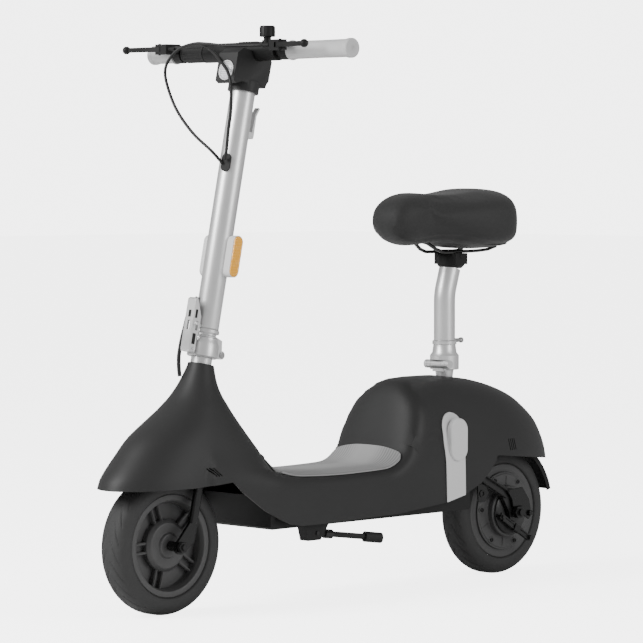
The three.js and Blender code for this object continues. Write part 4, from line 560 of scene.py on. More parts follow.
def oval(name, stack, middle, half, rise, matrix):
    """Upright ovals stacked across. Each has a place across and an inset of its edge."""
    points = []
    for x, inset in stack:
        for c, s in circle(OVAL_POINTS):
            points.append(Vector((x, middle[0] + (half - inset) * c,
                                  middle[1] + (half - inset) * s + math.copysign(rise, s))) / 1000)
    faces = grid_faces(len(stack), OVAL_POINTS, wrap_columns=True)
    last = (len(stack) - 1) * OVAL_POINTS
    faces += [tuple(range(OVAL_POINTS)), tuple(range(last, last + OVAL_POINTS))]
    return outward(mesh_of(name, points, faces, matrix))


OVAL_POINTS = 48
print("mesh helpers ready")

# %% [markdown]
# Lathe work: most turned pieces are a profile spun round an axis. Each profile point is a
# distance along the axis and a radius, in millimetres. A small fillet is turned at every corner
# of the profile, because no real edge is perfectly sharp.

# %% Turning


def filleted(profile, size, steps=3):
    """Rounds the corners of a profile by a small size."""
    points = [np.array(p, float) for p in profile]
    out = [points[0]]
    for before, corner, after in zip(points, points[1:], points[2:]):
        back, ahead = before - corner, after - corner
        lengths = np.linalg.norm(back), np.linalg.norm(ahead)
        reach = min(size, lengths[0] / 2.2, lengths[1] / 2.2)
        if reach < 0.02:
            out.append(corner)
            continue
        a, b = corner + back / lengths[0] * reach, corner + ahead / lengths[1] * reach
        for i in range(steps + 1):
            t = i / steps
            out.append(a * (1 - t) ** 2 + corner * 2 * t * (1 - t) + b * t ** 2)
    out.append(points[-1])
    return out


def turned_mesh(name, profile, matrix, axis="X", fillet=0.6, segments=96):
    points = []
    line = filleted(profile, fillet)
    for c, s in circle(segments):
        for along, radius in line:
            across = (radius * c, radius * s)
            points.append(Vector((along, *across) if axis == "X" else (*across, along)) / 1000)
    faces = grid_faces(segments, len(line), wrap_rows=True)
    return outward(mesh_of(name, points, faces, matrix))


def swept(name, path, radius, sides=14):
    """A round tube along smooth points, in millimetres from the front axle."""
    fine = smooth_line(placed(path), 8)
    rings = []
    up = Vector((0, 0, 1))
    for i, spot in enumerate(fine):
        ahead = (fine[min(i + 1, len(fine) - 1)] - fine[max(i - 1, 0)]).normalized()
        side = ahead.cross(up)
        if side.length < 1e-4:
            side = ahead.cross(Vector((0, 1, 0)))
        side.normalize()
        up = side.cross(ahead).normalized()
        rings += [spot + (side * c + up * s) * radius / 1000 for c, s in circle(sides)]
    faces = grid_faces(len(fine), sides, wrap_columns=True)
    faces.append(tuple(range(sides)))
    faces.append(tuple(reversed(range((len(fine) - 1) * sides, len(fine) * sides))))
    return outward(mesh_of(name, rings, faces))


def smooth_line(points, steps):
    """A smooth curve through the points."""
    out = []
    count = len(points)
    for i in range(count - 1):
        a, b, c, d = (points[max(i - 1, 0)], points[i], points[i + 1], points[min(i + 2, count - 1)])
        for k in range(steps):
            t = k / steps
            out.append(0.5 * ((2 * b) + (c - a) * t + (2 * a - 5 * b + 4 * c - d) * t ** 2
                              + (3 * b - a - 3 * c + d) * t ** 3))
    out.append(points[-1])
    return out


print("lathe and sweep ready")

# %% [markdown]
# The body is one flowing skin: a nose, a floor and a rear cowl that melt into each other. Such a
# shape is easy to state as three simple forms that are blended where they meet, the way drops
# of water join. Each form tells how far a point lies outside it. The forms and their measured
# curves are those of the model, so the finer skin lies on the model's own. Two places are drawn
# more exactly here: the rim of the cowl's face, which bulges at knee height and draws in at the
# top, and the foot of the leg shield, which runs out into the floor without a ledge. The nose
# reaches two millimetres less far, so that the finer skin stays inside the model's box.

# %% Curves of the body


def follow(pairs, share):
    """A smooth curve through measured pairs, for arrays."""
    xs = np.array([p[0] for p in pairs])
    ys = np.array([p[1] for p in pairs])
    share = np.clip(share, xs[0], xs[-1])
    i = np.clip(np.searchsorted(xs, share, side="right") - 1, 0, len(xs) - 2)
    low, high = np.maximum(np.arange(len(xs)) - 1, 0), np.minimum(np.arange(len(xs)) + 1, len(xs) - 1)
    slopes = (ys[high] - ys[low]) / (xs[high] - xs[low])
    width = xs[i + 1] - xs[i]
    t = (share - xs[i]) / width
    return ((2 * t ** 3 - 3 * t ** 2 + 1) * ys[i] + (t ** 3 - 2 * t ** 2 + t) * width * slopes[i]
            + (3 * t ** 2 - 2 * t ** 3) * ys[i + 1] + (t ** 3 - t ** 2) * width * slopes[i + 1])


def eased(t):
    t = np.clip(t, 0, 1)
    return t * t * (3 - 2 * t)


# Each pair is a share of the height and a share of the reach
NOSE_FRONT = [(0, 1), (0.09, 0.974), (0.26, 0.826), (0.405, 0.68), (0.52, 0.487), (0.64, 0.275),
              (0.72, 0.168), (0.84, 0.076), (1, 0)]
NOSE_SIDE = [(0, 1), (0.09, 0.972), (0.26, 0.874), (0.405, 0.748), (0.52, 0.62), (0.64, 0.462),
             (0.72, 0.345), (0.84, 0.168), (1, 0)]
SHIELD = [(0, 1), (0.07, 0.95), (0.13, 0.8), (0.29, 0.572), (0.49, 0.332), (0.69, 0.142),
          (0.81, 0.064), (1, 0)]
COWL_FACE = [(-1.2, -0.5), (-0.3, -0.11), (0, 0.005), (0.19, 0.09), (0.38, 0.19), (0.57, 0.295),
             (0.764, 0.415), (0.888, 0.53), (0.973, 0.69), (1, 1)]
COWL_TAIL = [(0, 1), (0.16, 0.977), (0.33, 0.929), (0.47, 0.871), (0.61, 0.774), (0.75, 0.645),
             (0.865, 0.468), (0.944, 0.274), (0.98, 0.1), (1, 0)]
SIN, COS = math.sin(RAKE), math.cos(RAKE)
NECK, NECK_TOP, LIP, NOSE_HALF, NOSE_REACH, SHIELD_REACH = 23.6, 332.0, 234.0, 95.0, 186.0, 216.0
MAT_FRONT, MAT_BACK = 213.0, 538.0
DECK_FRONT, DECK_NARROW, DECK_SPREAD, DECK_TOP, DECK_ROUND = 80.0, 83.0, 25.0, 235.0, 22.0
DECK_DISH, DECK_CROWN, CROWN_LOSS, CROWN_BACK, CROWN_RUN = 8.0, 6.0, 4.5, 400.0, 120.0
COWL_FOOT, COWL_TOP, COWL_HALF, COWL_FRONT, COWL_LEAN = 150.0, 405.5, 108.0, 541.0, 92.0
COWL_ROUND, COWL_SQUARE, FACE_LOW, TAIL_LOW = 26.0, 2.8, 276.0, 226.0
TAIL_FRONT, TAIL_LENGTH, TAIL_START = 715.0, 310.0, 800.0
KNEE_LOW, KNEE_RISE, KNEE_HIGH, KNEE_FALL, KNEE_DEPTH, KNEE_SWELL = 262.0, 40.0, 345.0, 45.0, 10.0, 8.0
BROW_LOW, BROW_RISE, BROW_DRAW, RIM_RUN = 352.0, 52.0, 12.0, 130.0
print("measured curves", len(NOSE_FRONT), len(COWL_TAIL))

# %% Forms of the body


def nose_form(x, y, z):
    """A cone of ovals round the steering axis, which flares from the neck to the lip."""
    top = AXLE_HEIGHT + NECK_TOP * COS
    rise = np.clip((z - LIP) / (top - LIP), 0, 1)
    along = y - (PIVOT_BACK + (z - AXLE_HEIGHT) * SIN / COS)
    ahead = along < 0
    half = NECK + (NOSE_HALF - NECK) * follow(NOSE_SIDE, rise)
    reach = np.where(ahead, NECK + (NOSE_REACH - NECK) * follow(NOSE_FRONT, rise),
                     NECK + (SHIELD_REACH - NECK) * follow(SHIELD, rise))
    power = np.where(ahead, 2.1, 2 + 1.1 * eased((1 - rise) * 1.6))
    ring = (np.abs(x) / half) ** power + (np.abs(along) / reach) ** power
    return (ring ** (1 / power) - 1) * half


def deck_form(x, y, z):
    """A beam with round upper edges, dished from end to end and crowned across."""
    half = DECK_NARROW + DECK_SPREAD * eased((y - DECK_FRONT) / (MAT_FRONT - DECK_FRONT))
    dish = DECK_DISH * ((2 * (y - MAT_FRONT)) / (MAT_BACK - MAT_FRONT) - 1) ** 2
    crown = DECK_CROWN - CROWN_LOSS * eased((y - CROWN_BACK) / CROWN_RUN)
    top = DECK_TOP + dish + crown * (1 - (x / half) ** 2)
    over, above = np.abs(x) - half + DECK_ROUND, z - top + DECK_ROUND
    return (np.hypot(np.maximum(over, 0), np.maximum(above, 0))
            + np.minimum(np.maximum(over, above), 0) - DECK_ROUND)


def cowl_form(x, y, z):
    """A leaning face with a round rim, straight sides and a tail that tapers."""
    rise = np.clip((z - COWL_FOOT) / (COWL_TOP - COWL_FOOT), 0, 0.995)
    half = COWL_HALF * (1 - rise ** COWL_SQUARE) ** (1 / COWL_SQUARE)
    front = COWL_FRONT + COWL_LEAN * follow(COWL_FACE, (z - FACE_LOW) / (COWL_TOP - FACE_LOW))
    knee = eased((z - KNEE_LOW) / KNEE_RISE) * (1 - eased((z - KNEE_HIGH) / KNEE_FALL))
    brow = eased((z - BROW_LOW) / BROW_RISE)
    depth = COWL_ROUND + KNEE_DEPTH * knee - BROW_DRAW * brow
    face = front + depth
    half = half + (KNEE_SWELL * knee - BROW_DRAW * brow) * (1 - eased((y - front) / RIM_RUN))
    back = follow(COWL_TAIL, (z - TAIL_LOW) / (COWL_TOP - TAIL_LOW))
    rear = np.maximum(TAIL_FRONT + TAIL_LENGTH * back, face + 1)
    tail = np.minimum(TAIL_START, face + (rear - face) * 0.35)
    along = np.where(y < face, (face - y) / depth, np.where(y > tail, (y - tail) / (rear - tail), 0))
    power = np.where(y > tail, 2.3, 2.9 - 0.6 * brow)
    ring = (np.abs(x) / half) ** power + along ** power
    return np.maximum((ring ** (1 / power) - 1) * COWL_ROUND, z - COWL_TOP)


MELT, FAR_OFF, LONGEST_RAY = 42.0, 378.0, 420.0
SIDE, SIDE_SPREAD, SIDE_START, SIDE_RUN, SIDE_MELT = 108.5, 16.0, 150.0, 160.0, 10.0
FOOT_BACK, FOOT_BOW, FOOT_RUN, FOOT_LIFT, FOOT_HALF, FOOT_FADE = 206.0, 45.0, 110.0, 52.0, 80.0, 16.0
BOW_HALF, DECK_START, DECK_END, DECK_SINK, DECK_SINK_RUN = 85.0, 38.0, 610.0, 60.0, 150.0


def evened(form, x, y, z):
    """The form's value divided by its slope, which makes it a distance in millimetres."""
    step = 0.5
    slope = np.sqrt((form(x + step, y, z) - form(x - step, y, z)) ** 2
                    + (form(x, y + step, z) - form(x, y - step, z)) ** 2
                    + (form(x, y, z + step) - form(x, y, z - step)) ** 2) / (2 * step)
    return form(x, y, z) / np.maximum(slope, 0.2)


def melted(a, b, reach=MELT):
    """Two forms in one, with a soft fillet where they meet."""
    near = np.maximum(reach - np.abs(a - b), 0) / reach
    return np.minimum(a, b) - near * near * reach / 4


def skin_gap(spots):
    """How far points lie outside the skin."""
    x, y, z = spots[..., 0], spots[..., 1], spots[..., 2]
    # Behind the shield's foot the nose gives way to the floor, but not at the sides
    behind = eased((y + FOOT_BOW * (x / BOW_HALF) ** 2 - FOOT_BACK) / FOOT_RUN)
    between = 1 - eased((np.abs(x) - FOOT_HALF) / FOOT_FADE)
    nose = evened(nose_form, x, y, z) + FOOT_LIFT * (behind * between)
    sunk = evened(deck_form, x, y, z) + DECK_SINK * eased((y - DECK_END) / DECK_SINK_RUN)
    deck = np.where((y < DECK_START) | (y > TAIL_START), FAR_OFF, sunk)
    cowl = np.where(z > COWL_TOP + MELT, FAR_OFF, evened(cowl_form, x, y, z))
    whole = melted(melted(nose, deck), cowl)
    side = np.abs(x) - SIDE - SIDE_SPREAD * (1 - eased((y - SIDE_START) / SIDE_RUN))
    return -melted(-whole, -side, SIDE_MELT)


def skin_hit(starts, aims, away=0.0):
    """Where rays from inside leave the skin, at a set distance from it."""
    reach = np.zeros(len(starts))
    for _ in range(46):
        gap = skin_gap(starts + aims * reach[:, None]) - away
        inside = (gap < 0) & (reach < LONGEST_RAY)
        if not inside.any():
            break
        reach = np.where(inside, reach + np.clip(-gap * 0.8, 1.0, 14.0), reach)
    low, high = np.maximum(reach - 15, 0), reach
    for _ in range(12):
        middle = (low + high) / 2
        out = skin_gap(starts + aims * middle[:, None]) >= away
        low, high = np.where(out, low, middle), np.where(out, middle, high)
    return starts + aims * ((low + high) / 2)[:, None]


def laid(x, y, z, aim, away):
    """A grid of points on the skin, where rays that start at a grid inside leave it."""
    starts = np.stack([x, y, z], -1).reshape(-1, 3)
    aims = np.tile(np.array(aim, float), (len(starts), 1))
    return skin_hit(starts, aims, away).reshape(x.shape + (3,))


print("gap at the saddle post", skin_gap(np.array([[0.0, POST_BACK, COWL_TOP]])))

# %% [markdown]
# Rays sent out from the middle of the body find the skin: rings of rays round the steering axis
# for the nose, then arches along the floor, then a fan over the tail. Neighbouring hits become
# a fine grid of faces.

# %% Rays over the body
FINE = 2
RAY_FOOT, RAY_BACK = 120.0, 760.0
NOSE_TILT, FLOOR_TILT, TAIL_TILT = 42.0, 142.0, -10.0


def skin_rays():
    """Each ring's middle, and how far its front and back halves are tilted."""
    bottom = (RAY_FOOT - AXLE_HEIGHT) / COS
    rings = []
    for share in np.linspace(1, 0, 22 * FINE + 1):
        h = bottom + (NECK_TOP - bottom) * share
        sink = 1 - share
        front = 180 - RAKE_DEGREES * (1 - float(eased(sink * 1.5)))
        back = -RAKE_DEGREES + (NOSE_TILT + RAKE_DEGREES) * sink
        rings.append((PIVOT_BACK + h * SIN, AXLE_HEIGHT + h * COS, front, back))
    start = rings[-1][0]
    for share in np.linspace(0, 1, 30 * FINE + 1)[1:]:
        tilt = NOSE_TILT + (FLOOR_TILT - NOSE_TILT) * share
        rings.append((start + (RAY_BACK - start) * share, RAY_FOOT, None, tilt))
    for share in np.linspace(0, 1, 28 * FINE + 1)[1:]:
        rings.append((RAY_BACK, RAY_FOOT, None, FLOOR_TILT + (TAIL_TILT - FLOOR_TILT) * share))
    return rings


def tilted(across, out, degrees):
    tilt = math.radians(degrees)
    return np.stack([across, out * math.cos(tilt), out * math.sin(tilt)], 1)


def back_aims(tilt):
    """Aims of a ring's back half, closest together at its middle."""
    sweep = np.linspace(-1, 1, 36 * FINE + 1)
    angles = np.sign(sweep) * np.abs(sweep) ** 1.15 * np.pi / 2
    return tilted(np.sin(angles), np.cos(angles), tilt)


def front_aims(tilt):
    count = 18 * FINE
    turns = np.pi * np.arange(count) / count
    return tilted(np.cos(turns), np.sin(turns), tilt)


def skin_grids():
    """Two grids of points: the front of the nose, and everything behind and above."""
    fore_rows, aft_rows = [], []
    for y, z, front, back in skin_rays():
        start, aft = np.array([0.0, y, z]), back_aims(back)
        if front is not None:
            fore_rows.append((start, np.concatenate([front_aims(front), aft[:1]])))
        aft_rows.append((start, aft))
    grids = []
    for rows in (fore_rows, aft_rows):
        starts = np.concatenate([np.repeat(start[None], len(aims), 0) for start, aims in rows])
        aims = np.concatenate([aims for _, aims in rows])
        grids.append(skin_hit(starts, aims).reshape(len(rows), -1, 3))
    return grids


skin_fore, skin_aft = skin_grids()
print("skin points", skin_fore.shape, skin_aft.shape)

# %% [markdown]
# The moulding's lower edge rises over the front wheel, drops to a long skirt and rises again over
# the rear wheel. The grid is clipped along that line: a face that crosses it is cut in two and
# only the upper part is kept, so that the edge is exact and clean.

# %% Clip the skin along its lower edge
EDGE = [(-400, 236), (-95, 234), (0, 235.5), (52.8, 239), (88, 241.5), (108, 223), (161, 184.5),
        (198, 165.5), (226, 155), (256, 150), (326, 149.5), (513, 154), (641, 166), (700, 177.5),
        (749, 198), (779, 224), (791, 236), (797, 248.5), (1025, 226), (1213, 214)]
EDGE_Y, EDGE_Z = np.array(EDGE, float).T


def above_edge(spots):
    return spots[..., 2] - np.interp(spots[..., 1], EDGE_Y, EDGE_Z)


class Clipper:
    """Collects faces, cut along the lower edge, with shared points along the cut."""

    def __init__(self):
        self.points = []
        self.faces = []
        self.known = {}

    def point(self, spot):
        key = tuple(np.round(spot, 3))
        if key not in self.known:
            self.known[key] = len(self.points)
            self.points.append(spot)
        return self.known[key]

    def cross(self, low, high):
        rise = above_edge(low) > 0
        for _ in range(14):
            middle = (low + high) / 2
            if (above_edge(middle) > 0) == rise:
                low = middle
            else:
                high = middle
        return (low + high) / 2

    def add(self, corners):
        heights = [above_edge(c) for c in corners]
        if max(heights) <= 0:
            return
        kept = []
        for i, corner in enumerate(corners):
            after = corners[(i + 1) % len(corners)]
            h, n = heights[i], heights[(i + 1) % len(corners)]
            if h > 0:
                kept.append(self.point(corner))
            if (h > 0) != (n > 0):
                kept.append(self.point(self.cross(corner, after)))
        unique = [k for i, k in enumerate(kept) if k != kept[i - 1]]
        if len(unique) > 2:
            self.faces.append(unique)


def clipped_skin():
    cutter = Clipper()
    for grid, flip in ((skin_fore, False), (skin_aft, True)):
        rows, columns = grid.shape[:2]
        for i in range(rows - 1):
            for j in range(columns - 1):
                corners = [grid[i, j], grid[i, j + 1], grid[i + 1, j + 1], grid[i + 1, j]]
                cutter.add(corners[::-1] if flip else corners)
    return cutter


clipped = clipped_skin()
print("skin faces", len(clipped.faces))

# %% [markdown]
# The clipped sheet gets the moulding's wall thickness from Solidify, inward. Vent slits and the
# hole for the seat post are then cut with Boolean, from small closed tools.

# %% Body moulding
SLIT_WIDTH, SLIT_LENGTH, SLIT_DEPTH, SLIT_PITCH = 2.6, 24.0, 30.0, 6.2
POST_HOLE, WALL = 17.5, 0.003
# Each row of vents: its place across, behind and up, its lean in degrees and its count
VENTS = ((102, 846, 267, 12, 4), (91, 46, 262, 50, 3))


def slit(x, y, z, lean):
    """A cutter for one vent: a tall slot with round ends, leaning with its row."""
    reach = (SLIT_LENGTH - SLIT_WIDTH) / 2
    outline = [(c * SLIT_WIDTH / 2, s * SLIT_WIDTH / 2 + (reach if s >= 0 else -reach))
               for c, s in circle(16)]
    spot = Matrix.Translation(place(x, y, z)) @ about_x(math.radians(lean))
    return plate(outline, -SLIT_DEPTH / 2, SLIT_DEPTH / 2, spot, 0)


def apply_all(made):
    """Turns the modifiers into plain mesh."""
    graph = bpy.context.evaluated_depsgraph_get()
    final = bpy.data.meshes.new_from_object(made.evaluated_get(graph))
    made.modifiers.clear()
    old = made.data
    made.data = final
    bpy.data.meshes.remove(old)


def body_cuts():
    """The cutters of the vents and of the hole for the seat post."""
    tools = []
    for side in (-1, 1):
        for x, y, z, lean, count in VENTS:
            shifts = [SLIT_PITCH * (i - (count - 1) / 2) for i in range(count)]
            tools += [slit(side * x, y + shift, z, lean) for shift in shifts]
    hole, spot = [(360, 0), (360, POST_HOLE), (440, POST_HOLE), (440, 0)], place(0, POST_BACK, 0)
    tools.append(turned_mesh("post_hole", hole, Matrix.Translation(spot), "Z", 0, 48))
    return stood("body_cuts", merged("body_cuts", tools))


def body_moulding():
    mesh = mesh_of("body_moulding", placed(clipped.points), clipped.faces)
    shape = opened(mesh)
    bmesh.ops.remove_doubles(shape, verts=shape.verts, dist=2e-5)
    bmesh.ops.dissolve_degenerate(shape, edges=shape.edges, dist=1e-5)
    bmesh.ops.recalc_face_normals(shape, faces=shape.faces)
    upper = [face for face in shape.faces if face.calc_center_median().z > AXLE.z + 0.4]
    if sum(face.normal.z for face in upper) < 0:
        bmesh.ops.reverse_faces(shape, faces=shape.faces)
    made = stood("body_moulding", closed(shape, mesh))
    wall = made.modifiers.new("wall", "SOLIDIFY")
    wall.thickness = WALL
    wall.offset = -1
    wall.use_even_offset = False
    tool = body_cuts()
    cut = made.modifiers.new("cuts", "BOOLEAN")
    cut.object = tool
    cut.solver = "EXACT"
    apply_all(made)
    bpy.data.objects.remove(tool)
    coated(made, body_finish)
    sharpen(made.data, 42)
    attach(made, "base")
    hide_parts("body_shell")
    return made


body = body_moulding()
print("body moulding", len(body.data.polygons), "faces")

# %% [markdown]
# The floor mat is a ribbed rubber sheet laid in the dished floor. It follows the body's skin a
# few millimetres above it, so its grid of points is found with rays as well, straight up. Long
# ribs run along its sides and fade out towards the middle.

# %% Floor mat
MAT_HALF, MAT_CORNER, MAT_TOP, MAT_UNDER, MAT_RAYS = 92.0, 9.0, 3.6, 0.9, 180.0


def mat_half_width(y):
    inset = np.clip(np.minimum(y - MAT_FRONT, MAT_BACK - y), 0, MAT_CORNER)
    drawn = np.sqrt(np.maximum(MAT_CORNER ** 2 - (MAT_CORNER - inset) ** 2, 0))
    return MAT_HALF - MAT_CORNER + drawn


def floor_mat():
    rows, columns = ((200, 150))
    ys = MAT_FRONT + (MAT_BACK - MAT_FRONT) * np.linspace(0, 1, rows)
    across = np.linspace(-1, 1, columns)
    x = mat_half_width(ys)[:, None] * across[None, :]
    y = np.repeat(ys[:, None], columns, 1)
    z = np.full_like(x, MAT_RAYS)
    top, low = [laid(x, y, z, (0, 0, 1), away) for away in (MAT_TOP, MAT_UNDER)]
    rib = 0.5 - 0.5 * np.cos(2 * np.pi * np.abs(x) / RIB_PITCH)
    side = eased((np.abs(x) - 20) / 30) * eased((88 - np.abs(x)) / 5)
    ends = eased((y - MAT_FRONT - 12) / 40) * eased((MAT_BACK - 12 - y) / 30)
    top[..., 2] += (0.55 * rib ** 1.6 - 0.5) * side * ends
    to_end = np.minimum(y - MAT_FRONT, MAT_BACK - y)
    rim_gap = np.minimum((1 - np.abs(across)) * MAT_HALF, to_end)
    top[..., 2] -= 1.1 * (1 - eased(rim_gap / 3.0))
    mesh = sheet("floor_mat_ribbed", top, low)
    return link("floor_mat_ribbed", mesh, mat_finish, "base", ["floor_mat"])


mat = floor_mat()
print("floor mat", len(mat.data.polygons), "faces")

# %% [markdown]
# A pale trim closes each side where the floor meets the cowl: a band that lies on the skin, with
# a round top, and a raised oval pad on it. The band's grid is found with rays sent sideways.
# The pad is a stack of outlines that draw in towards its face, which gives it a rolled edge.

# %% Side trims
TRIM_FRONT, TRIM_BACK, TRIM_FOOT, TRIM_TOP = 639.0, 699.0, 168.0, 339.0
PAD_BACK, PAD_FOOT, PAD_TOP, PAD_HALF = 674.5, 244.5, 328.0, 24.0


def trim_band(side, rows=56, columns=25):
    half, middle = (TRIM_BACK - TRIM_FRONT) / 2, (TRIM_BACK + TRIM_FRONT) / 2
    share = np.linspace(0, 1, rows)[:, None] ** 0.8
    rough_z = TRIM_FOOT + (TRIM_TOP - TRIM_FOOT) * share
    width = np.sqrt(np.maximum(half ** 2 - np.maximum(rough_z - TRIM_TOP + half, 0) ** 2, 4))
    across = np.linspace(-1, 1, columns)[None, :]
    y = middle + width * across + 2.5 * (1 - share) * (1 - across)
    low = np.interp(y, EDGE_Y, EDGE_Z) + 0.5
    z = low + (TRIM_TOP - low) * share
    inner, outer = [laid(np.zeros_like(y), y, z, (side, 0, 0), away) for away in (0.9, 3.3)]
    rim_gap = np.minimum(width * (1 - np.abs(across)), TRIM_TOP - z)
    outer[..., 0] -= side * 1.2 * (1 - eased((rim_gap + 0.2) / 2.2))
    return sheet("band", outer, inner)


def trim_pad(side):
    stack = [(104, 0), (111.4, 0), (113.2, 0.5), (114.4, 1.6), (114.8, 3.2), (115.0, 8)]
    stack = [(side * x, inset) for x, inset in stack]
    rise = (PAD_TOP - PAD_FOOT) / 2 - PAD_HALF
    return oval("pad", stack, (PAD_BACK, (PAD_FOOT + PAD_TOP) / 2), PAD_HALF, rise, UPRIGHT)


for side, word in ((1, "left"), (-1, "right")):
    mesh = merged("side_trim_%s_padded" % word, [trim_band(side), trim_pad(side)])
    link(mesh.name, mesh, trim_finish, "base", ["side_trim_" + word])
print("side trims laid")

# %% [markdown]
# The tail light is a low lens that follows the cowl's tail. Its points come from rays sent back
# through the skin, and its rim is drawn in so that the lens looks pressed into the moulding.

# %% Tail light
LIGHT_HALF, LIGHT_RISE, LIGHT_CORNER, LIGHT_UP = 26.0, 12.0, 8.0, 300.0


def tail_light(rows=21, columns=41):
    down = LIGHT_RISE * np.linspace(-1, 1, rows)[:, None]
    over = np.maximum(np.abs(down) - (LIGHT_RISE - LIGHT_CORNER), 0)
    half = LIGHT_HALF - LIGHT_CORNER + np.sqrt(np.maximum(LIGHT_CORNER ** 2 - over ** 2, 0))
    across = np.linspace(-1, 1, columns)[None, :]
    x = half * across
    z = LIGHT_UP + down + 0 * across
    inner, outer = [laid(x, np.full_like(x, RAY_BACK), z, (0, 1, 0), away) for away in (-1.0, 2.4)]
    rim_gap = np.minimum(half * (1 - np.abs(across)), LIGHT_RISE - np.abs(down))
    outer[..., 1] -= 1.6 * (1 - eased((rim_gap + 0.1) / 2.5))
    mesh = sheet("tail_light_lens", outer, inner)
    link(mesh.name, mesh, red_finish, "base", ["tail_light"])


tail_light()
print("tail light set")

# %% [markdown]
# Each tyre is a lathe shape whose tread is carved. Long grooves sweep from the middle of the
# tread to the shoulder. A fine grid round the wheel is pressed in where a point lies near the
# middle line of a groove, which makes real grooves, not painted ones.

# %% Tyres
TYRE = [(-22, 93.3), (-29.1, 96), (-31, 104), (-30, 112), (-25.1, 120.5), (-18, 125), (-9, 127),
        (9, 127), (18, 125), (25.1, 120.5), (30, 112), (31, 104), (29.1, 96), (22, 93.3)]
TYRE_RADIUS, GROOVES = 127.0, 22


def tyre_line():
    points = smooth_line([Vector((x, r, 0)) for x, r in TYRE], 5)
    return np.array([(p.x, min(p.y, TYRE_RADIUS)) for p in points])


def groove_depth(x, turn, sweep=20.0):
    """How deep the tread is cut at a place across it and an angle round it."""
    pitch = 2 * np.pi / GROOVES
    side = np.where(x > 0, 0.5, 0.0)
    centre = np.radians(sweep) * (np.maximum(np.abs(x) - 3, 0) / 20) ** 1.3 + side * pitch
    off = (turn - centre + pitch / 2) % pitch - pitch / 2
    slant = TYRE_RADIUS * np.radians(sweep) / 20
    distance = np.abs(off) * TYRE_RADIUS / np.sqrt(1 + slant ** 2 * 0.5)
    cut = 1 - eased((distance - 0.9) / 1.1)
    span = eased((np.abs(x) - 3.0) / 2) * (1 - eased((np.abs(x) - 23) / 2.5))
    return 1.4 * cut * span


def tyre(name, matrix, body, node):
    line = tyre_line()
    segments = 640
    turns = 2 * np.pi * np.arange(segments) / segments
    x = np.repeat(line[None, :, 0], segments, 0)
    r = np.repeat(line[None, :, 1], segments, 0)
    turn = np.repeat(turns[:, None], len(line), 1)
    r = r - groove_depth(x, turn) * (r > 112)
    r = r - 0.35 * (1 - eased((np.abs(r - 108) - 0.4) / 0.6)) * (np.abs(x) > 28)
    points = np.stack([x, r * np.cos(turn), r * np.sin(turn)], -1).reshape(-1, 3) / 1000
    faces = grid_faces(segments, len(line), wrap_rows=True, wrap_columns=True)
    mesh = outward(mesh_of(name, points, faces, matrix))
    return link(name, mesh, tyre_finish, body, [node])


treads = [tyre("front_tyre_treaded", FRONT_HUB, "front_wheel", "front_tyre"),
          tyre("rear_tyre_treaded", REAR_HUB, "rear_wheel", "rear_tyre")]
print("tyres", [len(tread.data.polygons) for tread in treads], "faces")

# %% [markdown]
# The front wheel is a light casting: a deep rim, a hub like a shallow drum and spokes, each of
# them a pair of ribs with a thin web between. Rim and hub are turned, the ribs are bevelled
# bars set in a circle.

# %% Front wheel
RIM = [(-27, 83), (-27, 93), (-25.6, 94.2), (-22, 92.4), (-19, 89), (19, 89), (22, 92.4),
       (25.6, 94.2), (27, 93), (27, 83), (24, 81.5), (18, 79), (-18, 79), (-24, 81.5), (-27, 83)]
SPOKES, SPOKE_HALF = 5, 8.5


def front_wheel():
    hub = [(-25, 6.6), (-25, 21), (-22, 23), (-20, 24), (-20, 41), (-13, 48), (13, 48), (20, 41),
           (20, 24), (22, 23), (25, 21), (25, 6.6), (-25, 6.6)]
    web = [(-1.5, 44), (-1.5, 80), (1.5, 80), (1.5, 44), (-1.5, 44)]
    parts = [turned_mesh("ring", profile, FRONT_HUB, "X", fillet)
             for profile, fillet in ((RIM, 1.2), (hub, 1.6), (web, 0))]
    for i in range(SPOKES):
        turn = FRONT_HUB @ about_x(2 * math.pi * i / SPOKES + math.radians(20))
        parts.append(block((-3, -SPOKE_HALF, 44), (3, SPOKE_HALF, 82), turn, 0.5))
        parts += [block((-13, y - 2.4, 44), (13, y + 2.4, 82), turn, 1.4)
                  for y in (-SPOKE_HALF, SPOKE_HALF)]
    mesh = merged("front_wheel_casting", parts)
    return link("front_wheel_casting", mesh, wheel_finish, "front_wheel", ["front_rim"])


wheel_casting = front_wheel()
print("front wheel", len(wheel_casting.data.polygons), "faces")

# %% [markdown]
# The rear wheel's middle is the drive: a flat drum closed by screwed covers. The left cover
# carries the brake drum. Its face has a fine step near the rim, ribs between the screws and a
# ring of socket screws, which are sunk a little into bosses.

# %% Rear motor
SCREW_RING, SCREWS, SCREW_TURN = 68, 6, math.radians(25)


def screw_mesh(x, turn, out):
    """A socket screw: a turned head with a hollow. It points out to the left or the right."""
    steps = [(-1, 0.02), (-1, 4.2), (2.0, 4.2), (2.4, 3.6), (2.4, 2.0), (0.8, 1.9), (0.8, 0.02)]
    profile = [(x + out * step, radius) for step, radius in steps]
    spot = REAR_HUB @ about_x(turn) @ Matrix.Translation((0, 0, SCREW_RING / 1000))
    return turned_mesh("screw", profile, spot, "X", 0.25, 20)


def motor_drum():
    core = [(-27, 8), (-27, 84), (27, 84), (27, 8)]
    right = [(-26, 8), (-26, 79), (-30, 79.5), (-31.5, 78), (-33, 76), (-33, 60), (-34.5, 52),
             (-34.5, 36), (-37, 30), (-40, 28), (-40, 8)]
    parts = [turned_mesh("ring", profile, REAR_HUB, "X", fillet)
             for profile, fillet in ((RIM, 1.2), (core, 0.5), (right, 1.0))]
    mesh = merged("rear_motor_drum", parts)
    return link("rear_motor_drum", mesh, wheel_finish, "rear_wheel", ["rear_motor"])


